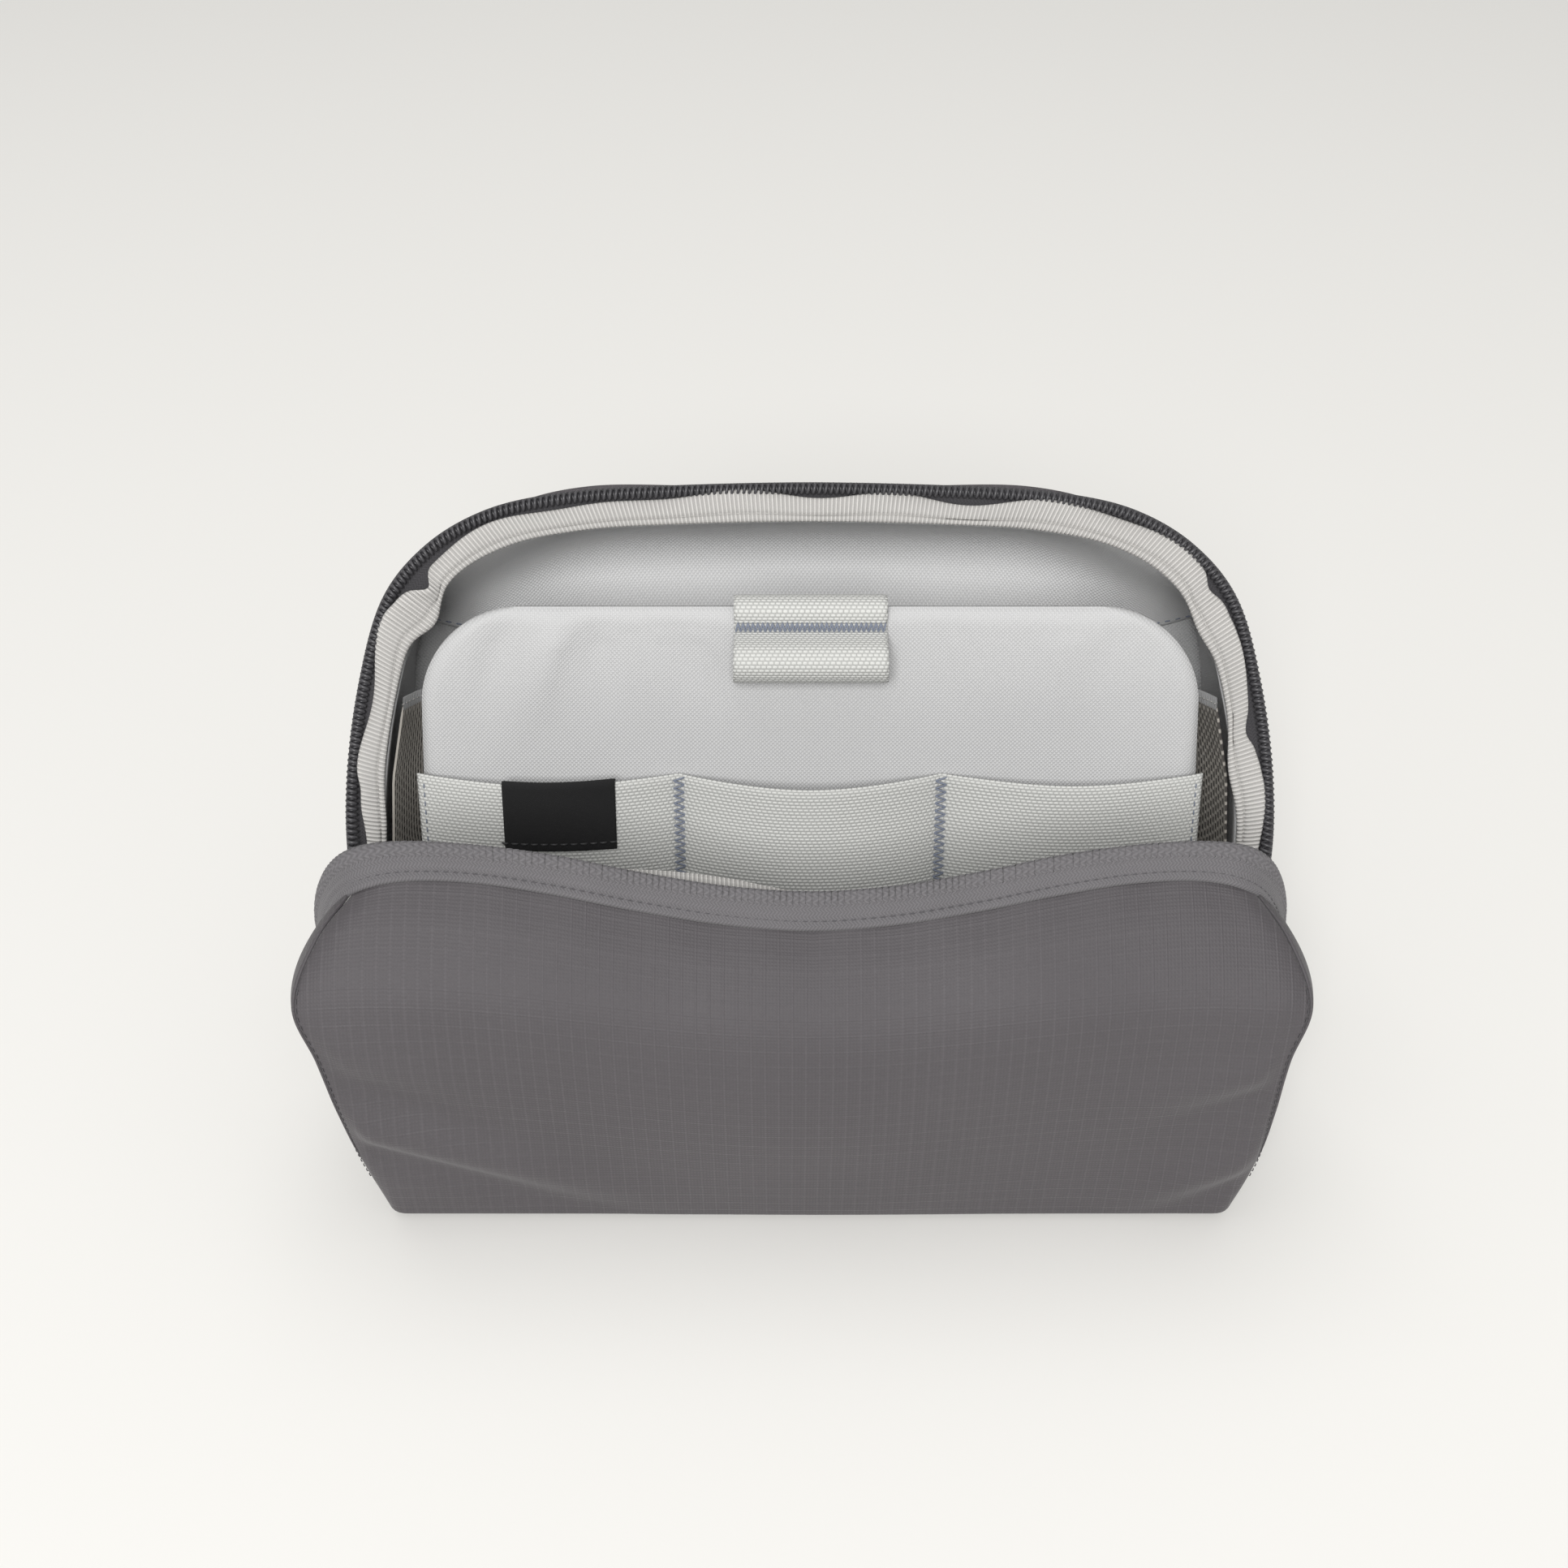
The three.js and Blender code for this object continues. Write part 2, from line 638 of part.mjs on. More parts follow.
function penLoopLine(t) {
  const outline = new THREE.CatmullRomCurve3([
    v3(0, PEN_LOOP_SEWN - 4, -loopLayer),
    v3(0, PEN_LOOP_TOP - 2, -loopLayer),
    v3(0, PEN_LOOP_TOP, 0),
    v3(0, PEN_LOOP_TOP - 2, loopLayer),
    v3(0, PEN_LOOP_SEWN, loopLayer),
    v3(0, loopMiddleUp + PEN_LOOP_BORE * 0.36, coverTo + PEN_LOOP_BORE * 0.8),
    v3(0, loopMiddleUp, coverTo + PEN_LOOP_BORE),
    v3(0, loopMiddleUp - PEN_LOOP_BORE * 0.4, coverTo + PEN_LOOP_BORE * 0.75),
    v3(0, loopMiddleUp - PEN_LOOP_BORE * 0.62, loopLayer + 0.1),
  ]);
  return outline.getPoint(t);
}

function penLoop() {
  return bentBox(1, 30, (u, v, w) => {
    const before = penLoopLine(Math.max(0, v - 0.002));
    const after = penLoopLine(Math.min(1, v + 0.002));
    const along = after.sub(before).normalize();
    const lift = (w - 0.5) * ELASTIC_THICKNESS;
    const line = penLoopLine(v);
    return onOrganizer((u - 0.5) * PEN_LOOP_WIDTH, line.y + along.z * lift, line.z - along.y * lift);
  });
}

add('pen_loop', penLoop(), ELASTIC);

// Blank woven label, folded over the band's top edge above the left pocket.
const LABEL_MIDDLE = -62.5;
const LABEL_THICKNESS = 0.7;
const labelFrom = bandFrom + ELASTIC_THICKNESS + PLY_GAP;
add(
  'woven_label',
  bentBox(4, 3, (u, v, w) => {
    const x = LABEL_MIDDLE + (u - 0.5) * LABEL_WIDTH;
    const share = (x / bandEnd + 1) / 2;
    return onOrganizer(
      x,
      BAND_FOOT + POCKET_BAND_HEIGHT - (1 - v) * LABEL_HEIGHT,
      labelFrom + bandLift(share, 1) + w * LABEL_THICKNESS,
    );
  }),
  LABEL_BLACK,
);

// ---- zip ends and slider ------------------------------------------------------------------

// Folded fabric tabs close both ends of the zip.
const TAB_LENGTH = 13;
const TAB_HEIGHT = 8;
const TAB_X = BASE_HALF_WIDTH + 3.3;
const TAB_MIDDLE_HEIGHT = ZIP_END_HEIGHT - 6;
addPair('zip_end_tab', (side) => {
  const tab = new THREE.BoxGeometry(FABRIC, TAB_LENGTH, TAB_HEIGHT);
  return tab.translate(side * TAB_X, ZIP_END_DEPTH - 0.5, TAB_MIDDLE_HEIGHT);
}, OUTER_RIPSTOP);

const SLIDER_X = 118;
const SLIDER_LENGTH = 10.6;
const SLIDER_PLATE = 3;
const SLIDER_FOOT_HALF = 2.6;
const SLIDER_HEAD_HALF = 4.2;
const SLIDER_CORNER = 2;
const PULL_CORNER = 2.4;
const PULL_LENGTH = 26;
const PULL_HALF_WIDTH = 3.2;
const PULL_THICKNESS = 1.6;
const sliderDepth = ZIP_END_DEPTH - 1.5;
const sliderBottom = ZIP_END_HEIGHT + 2.4;
const pullTop = sliderBottom + 6;

// Turns a plate drawn in XY, up along Y, so that it stands on edge and faces sideways.
function standSideways(geometry) {
  return geometry.rotateX(Math.PI / 2).rotateZ(Math.PI / 2);
}

// Both sliders are parked at the ends of the zip. Seen from the side each is narrow at its foot.
function sliderBody(side) {
  const outline = new THREE.Shape();
  const cornerX = SLIDER_HEAD_HALF - SLIDER_CORNER;
  const cornerUp = SLIDER_LENGTH - SLIDER_CORNER;
  outline.moveTo(-SLIDER_FOOT_HALF, 0);
  outline.lineTo(SLIDER_FOOT_HALF, 0);
  outline.lineTo(SLIDER_HEAD_HALF, cornerUp - 0.6);
  outline.absarc(cornerX, cornerUp, SLIDER_CORNER, 0, Math.PI / 2);
  outline.absarc(-cornerX, cornerUp, SLIDER_CORNER, Math.PI / 2, Math.PI);
  outline.closePath();
  const body = standSideways(plate(outline, 0, SLIDER_PLATE));
  return body.translate(side * SLIDER_X - SLIDER_PLATE / 2, sliderDepth, sliderBottom);
}

addPair('zip_slider', sliderBody, SLIDER_METAL);

function pullTab(side) {
  const outline = roundedRectangle(PULL_HALF_WIDTH, PULL_LENGTH, PULL_CORNER);
  const tab = standSideways(plate(outline, 0, PULL_THICKNESS));
  const middle = side * (SLIDER_X + SLIDER_PLATE / 2 + PLY_GAP + PULL_THICKNESS / 2);
  return tab.translate(middle - PULL_THICKNESS / 2, sliderDepth, pullTop - PULL_LENGTH);
}

addPair('zip_pull', pullTab, ZIP_TAPE_GREY);

// ---- whole pouch --------------------------------------------------------------------------

pouch.position.y = -FOOTPRINT_MIDDLE;
export default pouch;
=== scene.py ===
"""Cable organizer pouch: the look of its fabrics, trims and hardware around the fixed frame.

Sizes inside the classes are millimetres in the pouch's own layout: x across, depth back from the
front edge of the base, and height above the floor. `to_row` turns them into metres in the frame.
"""
import logging
import math
from dataclasses import dataclass, field
from enum import Enum
from typing import Callable, Sequence

import bpy
import numpy as np
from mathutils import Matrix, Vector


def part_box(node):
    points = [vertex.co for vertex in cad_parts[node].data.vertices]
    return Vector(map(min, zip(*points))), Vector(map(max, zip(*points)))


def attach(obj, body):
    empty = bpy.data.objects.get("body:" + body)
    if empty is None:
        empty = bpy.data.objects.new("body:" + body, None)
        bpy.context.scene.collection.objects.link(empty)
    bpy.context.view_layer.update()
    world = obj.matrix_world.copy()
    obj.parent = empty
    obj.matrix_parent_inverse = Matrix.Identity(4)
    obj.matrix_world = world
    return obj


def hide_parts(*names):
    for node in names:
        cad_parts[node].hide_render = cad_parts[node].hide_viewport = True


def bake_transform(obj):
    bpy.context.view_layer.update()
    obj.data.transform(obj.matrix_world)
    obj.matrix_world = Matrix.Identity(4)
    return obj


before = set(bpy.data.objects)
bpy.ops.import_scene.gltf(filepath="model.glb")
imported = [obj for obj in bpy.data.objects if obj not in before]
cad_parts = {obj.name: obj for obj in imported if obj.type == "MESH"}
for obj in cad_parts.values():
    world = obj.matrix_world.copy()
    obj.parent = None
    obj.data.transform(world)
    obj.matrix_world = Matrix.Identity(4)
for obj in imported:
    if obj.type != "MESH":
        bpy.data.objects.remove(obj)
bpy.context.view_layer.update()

logging.basicConfig(level=logging.INFO, format="%(message)s")
LOG = logging.getLogger("pouch")

MM = 0.001
BASE_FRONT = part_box("base_outer_panel")[0].y
BASE_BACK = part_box("base_outer_panel")[1].y
BASE_DEPTH = (BASE_BACK - BASE_FRONT) / MM
BASE_HALF_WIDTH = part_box("base_outer_panel")[1].x / MM
CORE = np.array([0.0, 48.0, 62.0])          # a point inside the main compartment


# ---- number helpers -------------------------------------------------------------------------


def to_row(points: np.ndarray) -> np.ndarray:
    """Turn layout millimetres into metres in the row frame.

    Args:
        points: Points as x, depth and height, in millimetres.

    Returns:
        The same points in metres, with depth 0 on the front edge of the base.
    """
    return points * MM + np.array([0.0, BASE_FRONT, 0.0])


def spline(points: Sequence[Sequence[float]], t: np.ndarray) -> np.ndarray:
    """Evaluate a smooth curve that passes through its points.

    Each span is the cubic whose slope at a point is half the chord between that point's neighbours.

    Args:
        points: The curve's points, in order.
        t: Places along the curve from 0 to 1, each span taking an equal share.

    Returns:
        One point for each value of t.
    """
    given = np.asarray(points, float)
    padded = np.vstack([2 * given[0] - given[1], given, 2 * given[-1] - given[-2]])
    place = np.clip(t, 0.0, 1.0) * (len(given) - 1)
    span = np.minimum(place.astype(int), len(given) - 2)
    part = (place - span)[..., None]
    a, b, c, d = padded[span], padded[span + 1], padded[span + 2], padded[span + 3]
    square = part * part
    return 0.5 * (
        2 * b + (c - a) * part + (2 * a - 5 * b + 4 * c - d) * square
        + (3 * b - a - 3 * c + d) * square * part
    )


def across(right_half: Sequence[Sequence[float]]) -> np.ndarray:
    """Mirror a right half, whose first point has x 0, into points from the left end to the right."""
    right = np.asarray(right_half, float)
    left = right[:0:-1] * np.array([-1.0, 1.0, 1.0])
    return np.vstack([left, right])


def smooth(value: np.ndarray | float, low: float, high: float) -> np.ndarray:
    """Rise from 0 at low to 1 at high along a cubic with level ends."""
    part = np.clip((np.asarray(value, float) - low) / (high - low), 0.0, 1.0)
    return part * part * (3 - 2 * part)


def grid(columns: int, rows: int) -> tuple[np.ndarray, np.ndarray]:
    """Return u and v, from 0 to 1, on a grid of columns by rows cells."""
    return np.meshgrid(np.linspace(0, 1, columns + 1), np.linspace(0, 1, rows + 1), indexing="ij")


def unit(vectors: np.ndarray) -> np.ndarray:
    """Scale vectors to length 1."""
    return vectors / np.maximum(np.linalg.norm(vectors, axis=-1, keepdims=True), 1e-12)


def normals(points: np.ndarray, toward: np.ndarray | None) -> np.ndarray:
    """Find the unit normals of a grid of points.

    Each is the cross product of the steps along the grid's two directions.

    Args:
        points: A grid of points.
        toward: The direction that the normals lean to, or None for away from the pouch's core.

    Returns:
        A grid of normals, all on the same side of the surface.
    """
    found = unit(np.cross(np.gradient(points, axis=0), np.gradient(points, axis=1)))
    side = points - CORE if toward is None else np.asarray(toward, float)
    return found if np.sum(found * side) >= 0 else -found


def arc(points: np.ndarray, axis: int) -> np.ndarray:
    """Measure distance along one direction of a grid, averaged over the other.

    Args:
        points: A grid of points.
        axis: The direction to measure along, 0 or 1.

    Returns:
        A grid of distances.
    """
    steps = np.linalg.norm(np.diff(points, axis=axis), axis=-1)
    mean = steps.mean(axis=1 - axis)
    run = np.concatenate([[0.0], np.cumsum(mean)])
    shape = [1, 1]
    shape[axis] = len(run)
    return np.broadcast_to(run.reshape(shape), points.shape[:2])


def ripple(a: np.ndarray, b: np.ndarray, seed: int, waves: int = 5) -> np.ndarray:
    """Add up sine waves of seeded direction into a gentle, irregular swell.

    Args:
        a: First coordinate, in wave lengths over two pi.
        b: Second coordinate, in the same unit.
        seed: Seed of the directions, phases and paces.
        waves: How many waves are added.

    Returns:
        A grid of values between about -1 and 1.
    """
    draw = np.random.default_rng(seed)
    total = np.zeros(np.broadcast(a, b).shape)
    for _ in range(waves):
        angle, phase = draw.uniform(0, 2 * math.pi, 2)
        pace = draw.uniform(0.5, 1.5)
        total += np.sin(pace * (a * math.cos(angle) + b * math.sin(angle)) + phase)
    return total / waves


# ---- mesh helpers ---------------------------------------------------------------------------


def quads(columns: int, rows: int, wrap: bool = False) -> np.ndarray:
    """Corner numbers of the faces of a grid of points, optionally closed round its rows."""
    i, j = np.meshgrid(np.arange(columns - 1), np.arange(rows if wrap else rows - 1), indexing="ij")
    after = (j + 1) % rows
    faces = np.stack([i * rows + j, (i + 1) * rows + j, (i + 1) * rows + after, i * rows + after], -1)
    return faces.reshape(-1, 4)


def make_mesh(name: str, points: np.ndarray, faces: list, uv: np.ndarray | None) -> bpy.types.Object:
    """Put points and faces into a new object at the origin, with its faces pointing out.

    Args:
        name: The piece's name.
        points: Layout points, in millimetres, one row each.
        faces: Lists of corner numbers.
        uv: Pattern coordinates in millimetres for each point, or None.

    Returns:
        The new object.
    """
    mesh = bpy.data.meshes.new(name)
    mesh.from_pydata(to_row(points).tolist(), [], faces)
    mesh.polygons.foreach_set("use_smooth", np.ones(len(mesh.polygons), bool))
    if uv is not None:
        corner = np.empty(len(mesh.loops), np.int32)
        mesh.loops.foreach_get("vertex_index", corner)
        mesh.uv_layers.new(name="weave").data.foreach_set("uv", (uv[corner] * MM).ravel())
    mesh.validate()
    obj = bpy.data.objects.new(name, mesh)
    bpy.context.scene.collection.objects.link(obj)
    face_out(obj)
    return obj


def face_out(obj: bpy.types.Object) -> None:
    """Turn every face over when the signed volume of the closed mesh is negative.

    Args:
        obj: A closed mesh.
    """
    mesh = obj.data
    mesh.calc_loop_triangles()
    corner = np.empty(len(mesh.loop_triangles) * 3, np.int32)
    mesh.loop_triangles.foreach_get("vertices", corner)
    place = np.empty(len(mesh.vertices) * 3)
    mesh.vertices.foreach_get("co", place)
    a, b, c = np.moveaxis(place.reshape(-1, 3)[corner.reshape(-1, 3)], 1, 0)
    if np.sum(a * np.cross(b, c)) < 0:
        mesh.flip_normals()


def slab(
    name: str,
    surface: np.ndarray,
    low: float,
    high: float,
    toward: np.ndarray | None = None,
    uv: tuple[np.ndarray, np.ndarray] | None = None,
    soft_edge: float = 0.45,
) -> bpy.types.Object:
    """Make a closed sheet between two offsets of a surface.

    The outer and the inner face are the surface moved along its normals. Along the four borders
    both are pulled to the middle of the thickness, which rounds the sheet's edges.

    Args:
        name: The piece's name.
        surface: A grid of layout points.
        low: The inner offset, in millimetres.
        high: The outer offset.
        toward: The side that offsets are counted to, or None for away from the pouch's core.
        uv: Pattern coordinates, or None for distances along the grid.
        soft_edge: The share of the thickness that is left at the very border.

    Returns:
        The new object.
    """
    columns, rows = surface.shape[:2]
    out = normals(surface, toward)
    edge = np.ones((columns, rows))
    edge[[0, -1], :] = soft_edge
    edge[:, [0, -1]] = soft_edge
    middle, half = (low + high) / 2, (high - low) / 2 * edge[..., None]
    points = np.concatenate([
        (surface + out * (middle + half)).reshape(-1, 3),
        (surface + out * (middle - half)).reshape(-1, 3),
    ])
    count = columns * rows
    top = quads(columns, rows)
    number = np.arange(count).reshape(columns, rows)
    border = np.concatenate([number[:-1, 0], number[-1, :-1], number[:0:-1, -1], number[0, :0:-1]])
    after = np.roll(border, -1)
    rim = np.stack([border, border + count, after + count, after], -1)
    faces = np.concatenate([top, top[:, ::-1] + count, rim])
    u, v = uv if uv is not None else (arc(surface, 0), arc(surface, 1))
    flat = np.stack([u.ravel(), v.ravel()], -1)
    return make_mesh(name, points, faces.tolist(), np.concatenate([flat, flat]))


def sweep(name: str, rings: np.ndarray, pattern: float = 1.0) -> bpy.types.Object:
    """Skin a row of closed rings and close both ends.

    Args:
        name: The piece's name.
        rings: Points as ring by place in the ring by 3, in millimetres.
        pattern: A factor on the pattern coordinates.

    Returns:
        The new object.
    """
    count, sides = rings.shape[:2]
    faces = quads(count, sides, wrap=True).tolist()
    faces.append(list(range(sides))[::-1])
    faces.append([(count - 1) * sides + k for k in range(sides)])
    along = arc(rings, 0) * pattern
    turn = np.broadcast_to(np.arange(sides) / sides, (count, sides)) * pattern
    return make_mesh(name, rings.reshape(-1, 3), faces, np.stack([along.ravel(), turn.ravel()], -1))


def tube(name: str, path: np.ndarray, radius: float, sides: int = 10) -> bpy.types.Object:
    """Sweep circles along a path, square to it and carried along with a level frame.

    Args:
        name: The piece's name.
        path: Layout points along the middle.
        radius: Radius of the circles, in millimetres.
        sides: Points in each circle.

    Returns:
        The piece.
    """
    tangent = unit(np.gradient(path, axis=0))
    side = unit(np.cross(tangent, [0.13, 0.37, 0.92]))
    up = np.cross(side, tangent)
    angle = np.linspace(0, 2 * math.pi, sides, endpoint=False)[None, :, None]
    rings = path[:, None] + radius * (np.cos(angle) * side[:, None] + np.sin(angle) * up[:, None])
    return sweep(name, rings)


def threads(
    name: str, starts: np.ndarray, ends: np.ndarray, out: np.ndarray, radius: float
) -> bpy.types.Object:
    """Make one mesh of short stitches, each a plump spindle that dips into the cloth at its ends.

    A stitch has four rings of six points. Ring radii go narrow, full, full, narrow, and the end
    rings lie a little lower than the middle ones.

    Args:
        name: The piece's name.
        starts: Start of each stitch.
        ends: End of each stitch.
        out: The cloth's outward direction at each stitch.
        radius: The thread's radius, in millimetres.

    Returns:
        The new object.
    """
    share = np.array([0.0, 0.22, 0.78, 1.0])
    fullness = np.array([0.45, 1.0, 1.0, 0.45])
    dip = np.array([-0.9, 0.35, 0.35, -0.9])
    sides = 6
    angle = np.arange(sides) * 2 * math.pi / sides
    along = unit(ends - starts)
    out = unit(out - along * np.sum(out * along, -1, keepdims=True))
    flank = np.cross(along, out)
    middle = starts[:, None] + (ends - starts)[:, None] * share[None, :, None]
    middle = middle + out[:, None] * (dip * radius)[None, :, None]
    ring = (
        np.cos(angle)[None, None, :, None] * out[:, None, None]
        + np.sin(angle)[None, None, :, None] * flank[:, None, None]
    )
    points = middle[:, :, None] + ring * (fullness * radius)[None, :, None, None]
    one = quads(len(share), sides, wrap=True).tolist()
    one.append(list(range(sides))[::-1])
    one.append([(len(share) - 1) * sides + k for k in range(sides)])
    step = len(share) * sides
    faces = [[corner + step * n for corner in face] for n in range(len(starts)) for face in one]
    flat = points.reshape(-1, 3)
    return make_mesh(name, flat, faces, np.stack([flat[:, 0], flat[:, 2]], -1))


def seam_row(
    name: str, path: np.ndarray, out: np.ndarray, pitch: float, fill: float, radius: float
) -> bpy.types.Object:
    """Lay a straight row of stitches along a path.

    Args:
        name: The piece's name.
        path: Points along the seam, lying on the cloth.
        out: The cloth's outward direction at each of those points.
        pitch: Distance from one stitch to the next, in millimetres.
        fill: The share of the pitch that the thread covers.
        radius: The thread's radius.

    Returns:
        The new object.
    """
    run = np.concatenate([[0], np.cumsum(np.linalg.norm(np.diff(path, axis=0), axis=-1))])
    count = max(2, int(run[-1] / pitch))
    starts = np.arange(count) * run[-1] / count
    ends = starts + fill * run[-1] / count

    def at(distance: np.ndarray, values: np.ndarray) -> np.ndarray:
        """Read values at distances along the path."""
        return np.stack([np.interp(distance, run, values[:, k]) for k in range(3)], -1)

    return threads(name, at(starts, path), at(ends, path), at((starts + ends) / 2, out), radius)


# ---- shader graph ---------------------------------------------------------------------------


class Value:
    """A number that leaves a node's socket. Arithmetic on it adds Math nodes to its graph."""

    def __init__(self, graph: "Graph", socket: bpy.types.NodeSocket) -> None:
        """Keep the graph and the socket."""
        self.graph = graph
        self.socket = socket

    def _with(self, operation: str, *others: "Value | float") -> "Value":
        """Apply a Math operation to this value and others."""
        return self.graph.math(operation, self, *others)

    def __add__(self, other: "Value | float") -> "Value":
        """Sum."""
        return self._with("ADD", other)

    __radd__ = __add__

    def __sub__(self, other: "Value | float") -> "Value":
        """Difference."""
        return self._with("SUBTRACT", other)

    def __rsub__(self, other: "Value | float") -> "Value":
        """Difference, the other way round."""
        return self.graph.math("SUBTRACT", other, self)

    def __mul__(self, other: "Value | float") -> "Value":
        """Product."""
        return self._with("MULTIPLY", other)

    __rmul__ = __mul__

    def __truediv__(self, other: "Value | float") -> "Value":
        """Quotient."""
        return self._with("DIVIDE", other)

    def __pow__(self, other: "Value | float") -> "Value":
        """Power."""
        return self._with("POWER", other)

    def __abs__(self) -> "Value":
        """Size without sign."""
        return self._with("ABSOLUTE")

    def wave(self, period: float) -> "Value":
        """A sine from 0 to 1 with this period."""
        return (self * (2 * math.pi / period))._with("SINE") * 0.5 + 0.5

    def part(self, period: float) -> "Value":
        """How far along its period the value is, from 0 to 1."""
        return (self / period)._with("FRACT")

    def above(self, edge: float, blur: float) -> "Value":
        """0 below edge and 1 above it, with a straight ramp that is 2 blur wide."""
        ramp = (self - (edge - blur)) / (2 * blur)
        return ramp._with("MAXIMUM", 0.0)._with("MINIMUM", 1.0)

    def line(self, period: float, width: float, blur: float) -> "Value":
        """1 on a line of this width once in each period, else 0."""
        middle = abs(self.part(period) - 0.5) * period
        return 1 - middle.above(width / 2, blur)


class Graph:
    """A material's nodes, built by expressions."""

    def __init__(self, name: str) -> None:
        """Start an empty material with a surface shader."""
        self.material = bpy.data.materials.new(name)
        self.material.use_nodes = True
        self.tree = self.material.node_tree
        self.tree.nodes.clear()
        self.output = self.node("ShaderNodeOutputMaterial")
        self.shader = self.node("ShaderNodeBsdfPrincipled")
        self.tree.links.new(self.shader.outputs[0], self.output.inputs[0])

    def node(self, kind: str, settings: dict | None = None, inputs: dict | None = None) -> bpy.types.Node:
        """Add a node.

        Args:
            kind: The node's type.
            settings: Properties, set before the sockets.
            inputs: Values or links by socket name or number.

        Returns:
            The node.
        """
        made = self.tree.nodes.new(kind)
        for key, value in (settings or {}).items():
            setattr(made, key, value)
        for key, value in (inputs or {}).items():
            self.feed(made.inputs[key], value)
        return made

    def feed(self, socket: bpy.types.NodeSocket, value: object) -> None:
        """Link a value or a socket to a socket, or set its constant.

        Args:
            socket: The socket that is fed.
            value: A value, a socket or a constant.
        """
        if isinstance(value, Value):
            self.tree.links.new(value.socket, socket)
        elif isinstance(value, bpy.types.NodeSocket):
            self.tree.links.new(value, socket)
        else:
            socket.default_value = value

    def math(self, operation: str, *values: "Value | float") -> Value:
        """Add a Math node."""
        made = self.node("ShaderNodeMath", {"operation": operation}, dict(enumerate(values)))
        return Value(self, made.outputs[0])

    def weave_uv(self) -> tuple[Value, Value]:
        """Pattern coordinates in metres along and across the cloth."""
        coordinates = self.node("ShaderNodeUVMap", {"uv_map": "weave"})
        parts = self.node("ShaderNodeSeparateXYZ", inputs={0: coordinates.outputs[0]})
        return Value(self, parts.outputs[0]), Value(self, parts.outputs[1])

    def object_point(self) -> bpy.types.NodeSocket:
        """The place on the object, in metres."""
        return self.node("ShaderNodeTexCoord").outputs["Object"]

    def noise(self, scale: float, detail: float = 3.0, stretch: tuple = (1.0, 1.0, 1.0)) -> Value:
        """Cloudy noise from 0 to 1 on object coordinates, with about `scale` clouds to a metre."""
        place = self.node("ShaderNodeMapping", inputs={"Vector": self.object_point(), "Scale": stretch})
        made = self.node(
            "ShaderNodeTexNoise", inputs={"Vector": place.outputs[0], "Scale": scale, "Detail": detail}
        )
        return Value(self, made.outputs[0])

    def mix(self, first: object, second: object, share: Value | float) -> bpy.types.NodeSocket:
        """Blend two colours."""
        made = self.node(
            "ShaderNodeMix", {"data_type": "RGBA"}, {0: share, 6: self.colour(first), 7: self.colour(second)}
        )
        return made.outputs[2]

    @staticmethod
    def colour(value: object) -> object:
        """Give a plain colour its alpha, and pass a socket through."""
        return (*value, 1.0) if isinstance(value, tuple) and len(value) == 3 else value

    def finish(
        self, colour: object, roughness: "Value | float", height: Value | None, depth: float, **fixed: object
    ) -> bpy.types.Material:
        """Feed the shader and return the material.

        Args:
            colour: Base colour.
            roughness: Roughness.
            height: Relief from 0 to 1, or None.
            depth: The relief's height in metres.
            fixed: Constants for the shader's own sockets, with _ for a space.

        Returns:
            The material.
        """
        self.feed(self.shader.inputs["Base Color"], self.colour(colour))
        self.feed(self.shader.inputs["Roughness"], roughness)
        if height is not None:
            bump = self.node(
                "ShaderNodeBump", inputs={"Strength": 1.0, "Distance": depth, "Height": height}
            )
            self.feed(self.shader.inputs["Normal"], bump.outputs[0])
        for key, value in fixed.items():
            self.shader.inputs[key.replace("_", " ")].default_value = value
        return self.material


# ---- finishes -------------------------------------------------------------------------------


@dataclass(frozen=True)
class Ripstop:
    """Coated ripstop: fine yarns with a thicker, paler yarn at a regular pitch both ways."""

    name: str = "outer_ripstop"
    shade: tuple = (0.080, 0.073, 0.0795)
    line_shade: tuple = (0.125, 0.116, 0.125)
    grid_pitch: float = 0.0031
    yarn_pitch: float = 0.00078

    def build(self) -> bpy.types.Material:
        """Weave, rip lines and a soft cloudiness.

        Returns:
            The material.
        """
        g = Graph(self.name)
        u, v = g.weave_uv()
        rip_u = u.line(self.grid_pitch, 0.00034, 0.00014)
        rip_v = v.line(self.grid_pitch * 1.35, 0.0003, 0.00014)
        yarns = u.wave(self.yarn_pitch) * v.wave(self.yarn_pitch * 1.1)
        cloud = g.noise(26.0, 4.0)
        fleck = g.noise(900.0, 2.0)
        base = g.mix(self.shade, tuple(c * 0.84 for c in self.shade), cloud)
        worn = g.mix(base, self.line_shade, rip_u * 0.4 + rip_v * 0.17)
        speckled = g.mix(worn, tuple(c * 0.7 for c in self.shade), (fleck * (1 - yarns)) * 0.75)
        height = yarns * 0.45 + rip_u * 0.5 + rip_v * 0.35 + fleck * 0.2
        rough = 0.62 + cloud * 0.12
        return g.finish(speckled, rough, height, 0.00016, Sheen_Weight=0.08, Sheen_Roughness=0.45)


